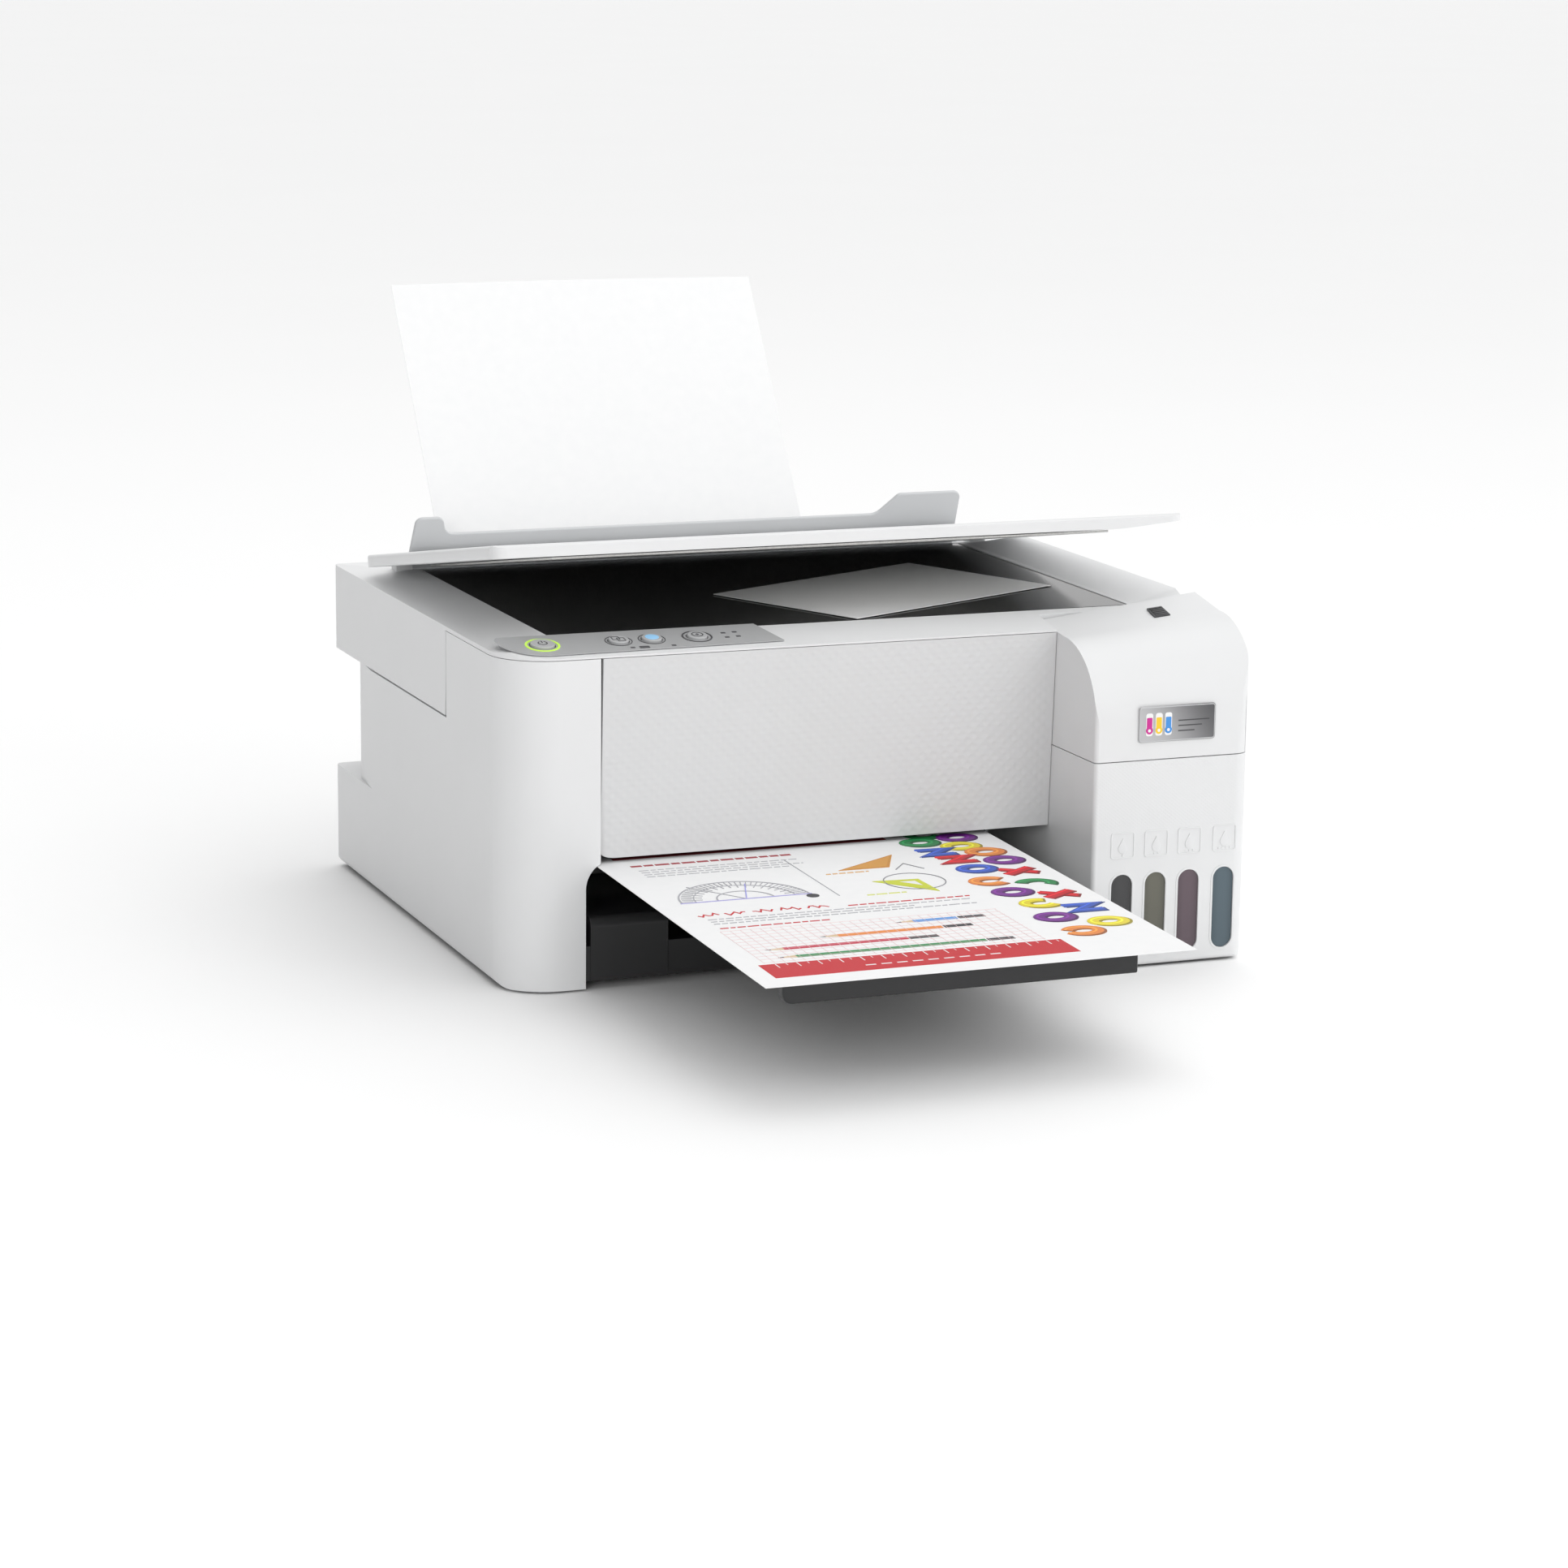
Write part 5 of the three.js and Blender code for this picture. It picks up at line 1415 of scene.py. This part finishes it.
    def hoop(self, u, v, tint, start=0, end=360, reach=(7.6, 5.6)):
        """A fat loop, or part of one."""
        whole = end - start >= 360
        turns = arc(0, 0, 1, start, end, 26)[:-1 if whole else None]
        self.stroke([(u + reach[0] * a, v + reach[1] * b) for a, b in turns], tint, whole)

    def zigzag(self, u, v, tint):
        """A fat bent line."""
        self.stroke([(u - 8, v - 5), (u + 7, v - 4.5), (u - 5, v + 5), (u + 9, v + 5)], tint)

    def cross(self, u, v, tint):
        """Two fat lines that cross."""
        self.stroke([(u - 8, v - 5), (u + 8, v + 5)], tint)
        self.stroke([(u - 8, v + 5), (u + 8, v - 5)], tint)

    def charms(self):
        """A trail of bright loops, crosses and bends down the right side of the page."""
        self.hoop(176, 62, self.GREEN, 20, 230)
        self.hoop(190, 71, self.PURPLE)
        self.hoop(168, 76, self.GREEN)
        self.hoop(185, 88, self.YELLOW)
        self.zigzag(168, 96, self.BLUE)
        self.hoop(192, 102, self.ORANGE)
        self.zigzag(172, 112, self.RED)
        self.hoop(194, 120, self.PURPLE)
        self.hoop(174, 132, self.BLUE)
        self.cross(192, 142, self.RED)
        self.hoop(170, 156, self.ORANGE, 40, 330)
        self.hoop(190, 166, self.GREEN, 200, 400)
        self.hoop(172, 178, self.PURPLE)
        self.cross(192, 188, self.RED)
        self.hoop(176, 201, self.YELLOW, 30, 300)
        self.zigzag(192, 214, self.BLUE)
        self.hoop(172, 226, self.PURPLE)
        self.hoop(193, 240, self.YELLOW)
        self.hoop(174, 252, self.ORANGE, 200, 520)


class PRINTER_OT_mechanism(PrinterOperator, bpy.types.Operator):
    """Chassis, carriage, rollers, belt, motors, board, power supply and pad"""

    bl_idname = "printer.mechanism"
    bl_label = "Mechanism"

    EDGES = {  # the rounding of each node's edges, in millimetres
        "chassis": 0.3, "guide_shaft": 0.4, "print_head_carriage": 0.7, "platen": 0.5, "capping_station": 0.6,
        "feed_roller": 0.15, "eject_roller": 0.15, "motor_pinion": 0.15, "feed_motor": 0.8,
        "pickup_roller": 0.5, "timing_belt": 0.2, "drive_pulley": 0.3, "idler_pulley": 0.3,
        "carriage_motor": 0.8, "power_supply": 0.6, "main_board": 0.2, "waste_ink_pad": 1.2,
    }

    def execute(self, context):
        for node, edge in self.EDGES.items():
            shape = finished(node, edge * MM)
        self.board_parts()
        self.platen_ribs()
        return {"FINISHED"}

    def board_parts(self):
        """Chips and capacitors scattered over the main board."""
        low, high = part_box("main_board")
        tree = Tree("board parts", Rows=9, Columns=4, Step=15 * MM, Seed=5, Finish=dark_plastic())
        i = tree.inputs
        points = grid_points(tree, i["Rows"], i["Columns"], i["Step"], i["Step"] * 0.62)
        part = tree.add("GeometryNodeMeshCube", None, {"Size": (7 * MM, 5 * MM, 3 * MM)}, out="Mesh")
        size = tree.add(
            "FunctionNodeRandomValue", {"data_type": "FLOAT_VECTOR"},
            {0: (0.35, 0.35, 0.5), 1: (1.5, 1.2, 1.4), "Seed": i["Seed"]},
        )
        spread = tree.add(
            "GeometryNodeInstanceOnPoints", None, {"Points": points, "Instance": part, "Scale": size}
        )
        mesh = tree.mesh(spread, i["Finish"])
        turn = Matrix.Rotation(math.radians(-90), 4, "Y") @ Matrix.Rotation(math.radians(90), 4, "Z")
        centre = Vector((low.x - 1.0 * MM, (low.y + high.y) / 2, (low.z + high.z) / 2))
        mesh.transform(Matrix.Translation(centre) @ turn)
        piece("board_parts", rounded(form_of(mesh), 0.25 * MM), dark_plastic(), "root")

    def platen_ribs(self):
        """Fine ribs across the platen that hold the sheet flat."""
        low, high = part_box("platen")
        tree = Tree(
            "platen ribs", Count=17, Spacing=9 * MM, Width=0.9 * MM, Length=36 * MM, Height=1.0 * MM,
            Finish=black_plastic(),
        )
        i = tree.inputs
        rib = tree.add(
            "GeometryNodeMeshCube", None,
            {"Size": tree.vector(i["Width"], i["Length"], i["Height"])}, out="Mesh",
        )
        points = grid_points(tree, i["Count"], 1, i["Spacing"], i["Spacing"])
        mesh = tree.mesh(tree.repeat(rib, points), i["Finish"])
        centre = (low + high) / 2
        centre.z = high.z + 0.1 * MM
        mesh.transform(Matrix.Translation(centre))
        piece("platen_ribs", rounded(form_of(mesh), 0.2 * MM), black_plastic(), "root")


class PRINTER_OT_stage(PrinterOperator, bpy.types.Operator):
    """Floor, soft lights and the camera"""

    bl_idname = "printer.stage"
    bl_label = "Stage"

    def execute(self, context):
        scene = context.scene
        self.floor()
        self.world(scene)
        # Each softbox's place, its size across and its power.
        self.softbox("key", (1.9, -2.4, 2.2), 1.6, 5)
        self.softbox("front left", (-1.7, -2.4, 0.9), 1.0, 13)
        self.softbox("top", (0.6, 0.2, 2.6), 2.0, 9)
        self.camera(scene)
        scene.view_settings.view_transform = "Standard"
        return {"FINISHED"}

    def floor(self):
        """A plain pale floor."""
        bm = bmesh.new()
        bmesh.ops.create_grid(bm, x_segments=1, y_segments=1, size=30)
        mesh = mesh_of(bm, "floor")
        shade = Shade("floor")
        cloud = shade.noise(400, 2)
        tone = shade.mix(cloud, (0.965, 0.965, 0.965), (0.98, 0.98, 0.98))
        mesh.materials.append(shade.surface(base_color=tone, roughness=0.75, specular_ior_level=0.2))
        scratch(mesh, "floor")

    def world(self, scene):
        """White all round, and dimmer towards the left."""
        world = bpy.data.worlds.new("studio")
        world.use_nodes = True
        world.node_tree.nodes.clear()
        sky = Nodes(world.node_tree)
        across, _, _ = sky.parts(sky.add("ShaderNodeTexCoord", out="Generated"))
        strength = across.ramp(-0.8, 0.25) * 0.98 + 0.26
        light = sky.add("ShaderNodeBackground", None, {"Color": (1, 1, 1, 1), "Strength": strength})
        sky.add("ShaderNodeOutputWorld", None, {"Surface": light})
        scene.world = world

    def softbox(self, name, place, size, power):
        """A round soft light that looks at the printer's middle."""
        light = bpy.data.lights.new(name, "AREA")
        light.shape = "DISK"
        light.size = size
        light.energy = power
        box = bpy.data.objects.new(name, light)
        box.location = place
        box.rotation_euler = (Vector((0, 0, 0.1)) - Vector(place)).to_track_quat("-Z", "Y").to_euler()
        bpy.context.scene.collection.objects.link(box)

    def camera(self, scene):
        """The camera, in front, to the left and a little above."""
        data = bpy.data.cameras.new("camera")
        data.sensor_width = 36
        data.lens = 96.65
        data.clip_end = 100
        camera = bpy.data.objects.new("camera", data)
        yaw, pitch, roll = math.radians(21.7), math.radians(12.04), 0.0119
        turn = (
            Matrix.Rotation(-yaw, 4, "Z")
            @ Matrix.Rotation(math.radians(90) - pitch, 4, "X")
            @ Matrix.Rotation(roll, 4, "Z")
        )
        place = at(-789.9, -2000.4, 526.0)
        camera.matrix_world = Matrix.Translation(place) @ turn
        scene.collection.objects.link(camera)
        scene.camera = camera


OPERATORS = (
    PRINTER_OT_casing,
    PRINTER_OT_front_panel,
    PRINTER_OT_ink_system,
    PRINTER_OT_scanner,
    PRINTER_OT_controls,
    PRINTER_OT_feeder,
    PRINTER_OT_output,
    PRINTER_OT_mechanism,
    PRINTER_OT_stage,
)


class PRINTER_PT_build(bpy.types.Panel):
    """Lists the printer's settings and its operators"""

    bl_label = "Ink-tank Printer"
    bl_space_type = "VIEW_3D"
    bl_region_type = "UI"
    bl_category = "Printer"

    def draw(self, context):
        for settings in (context.scene.printer_sizes, context.scene.printer_colours):
            box = self.layout.box()
            for name in settings.bl_rna.properties.keys():
                if name not in ("rna_type", "name"):
                    box.prop(settings, name)
        for operator in OPERATORS:
            self.layout.operator(operator.bl_idname)


CLASSES = (PrinterSizes, PrinterColours, *OPERATORS, PRINTER_PT_build)


def register():
    for cls in CLASSES:
        bpy.utils.register_class(cls)
    bpy.types.Scene.printer_sizes = PointerProperty(type=PrinterSizes)
    bpy.types.Scene.printer_colours = PointerProperty(type=PrinterColours)


def unregister():
    del bpy.types.Scene.printer_colours
    del bpy.types.Scene.printer_sizes
    for cls in reversed(CLASSES):
        bpy.utils.unregister_class(cls)


def main():
    register()
    for operator in OPERATORS:
        group, name = operator.bl_idname.split(".")
        if getattr(getattr(bpy.ops, group), name)() != {"FINISHED"}:
            raise RuntimeError(operator.bl_idname + " did not finish")


if __name__ == "__main__":
    main()
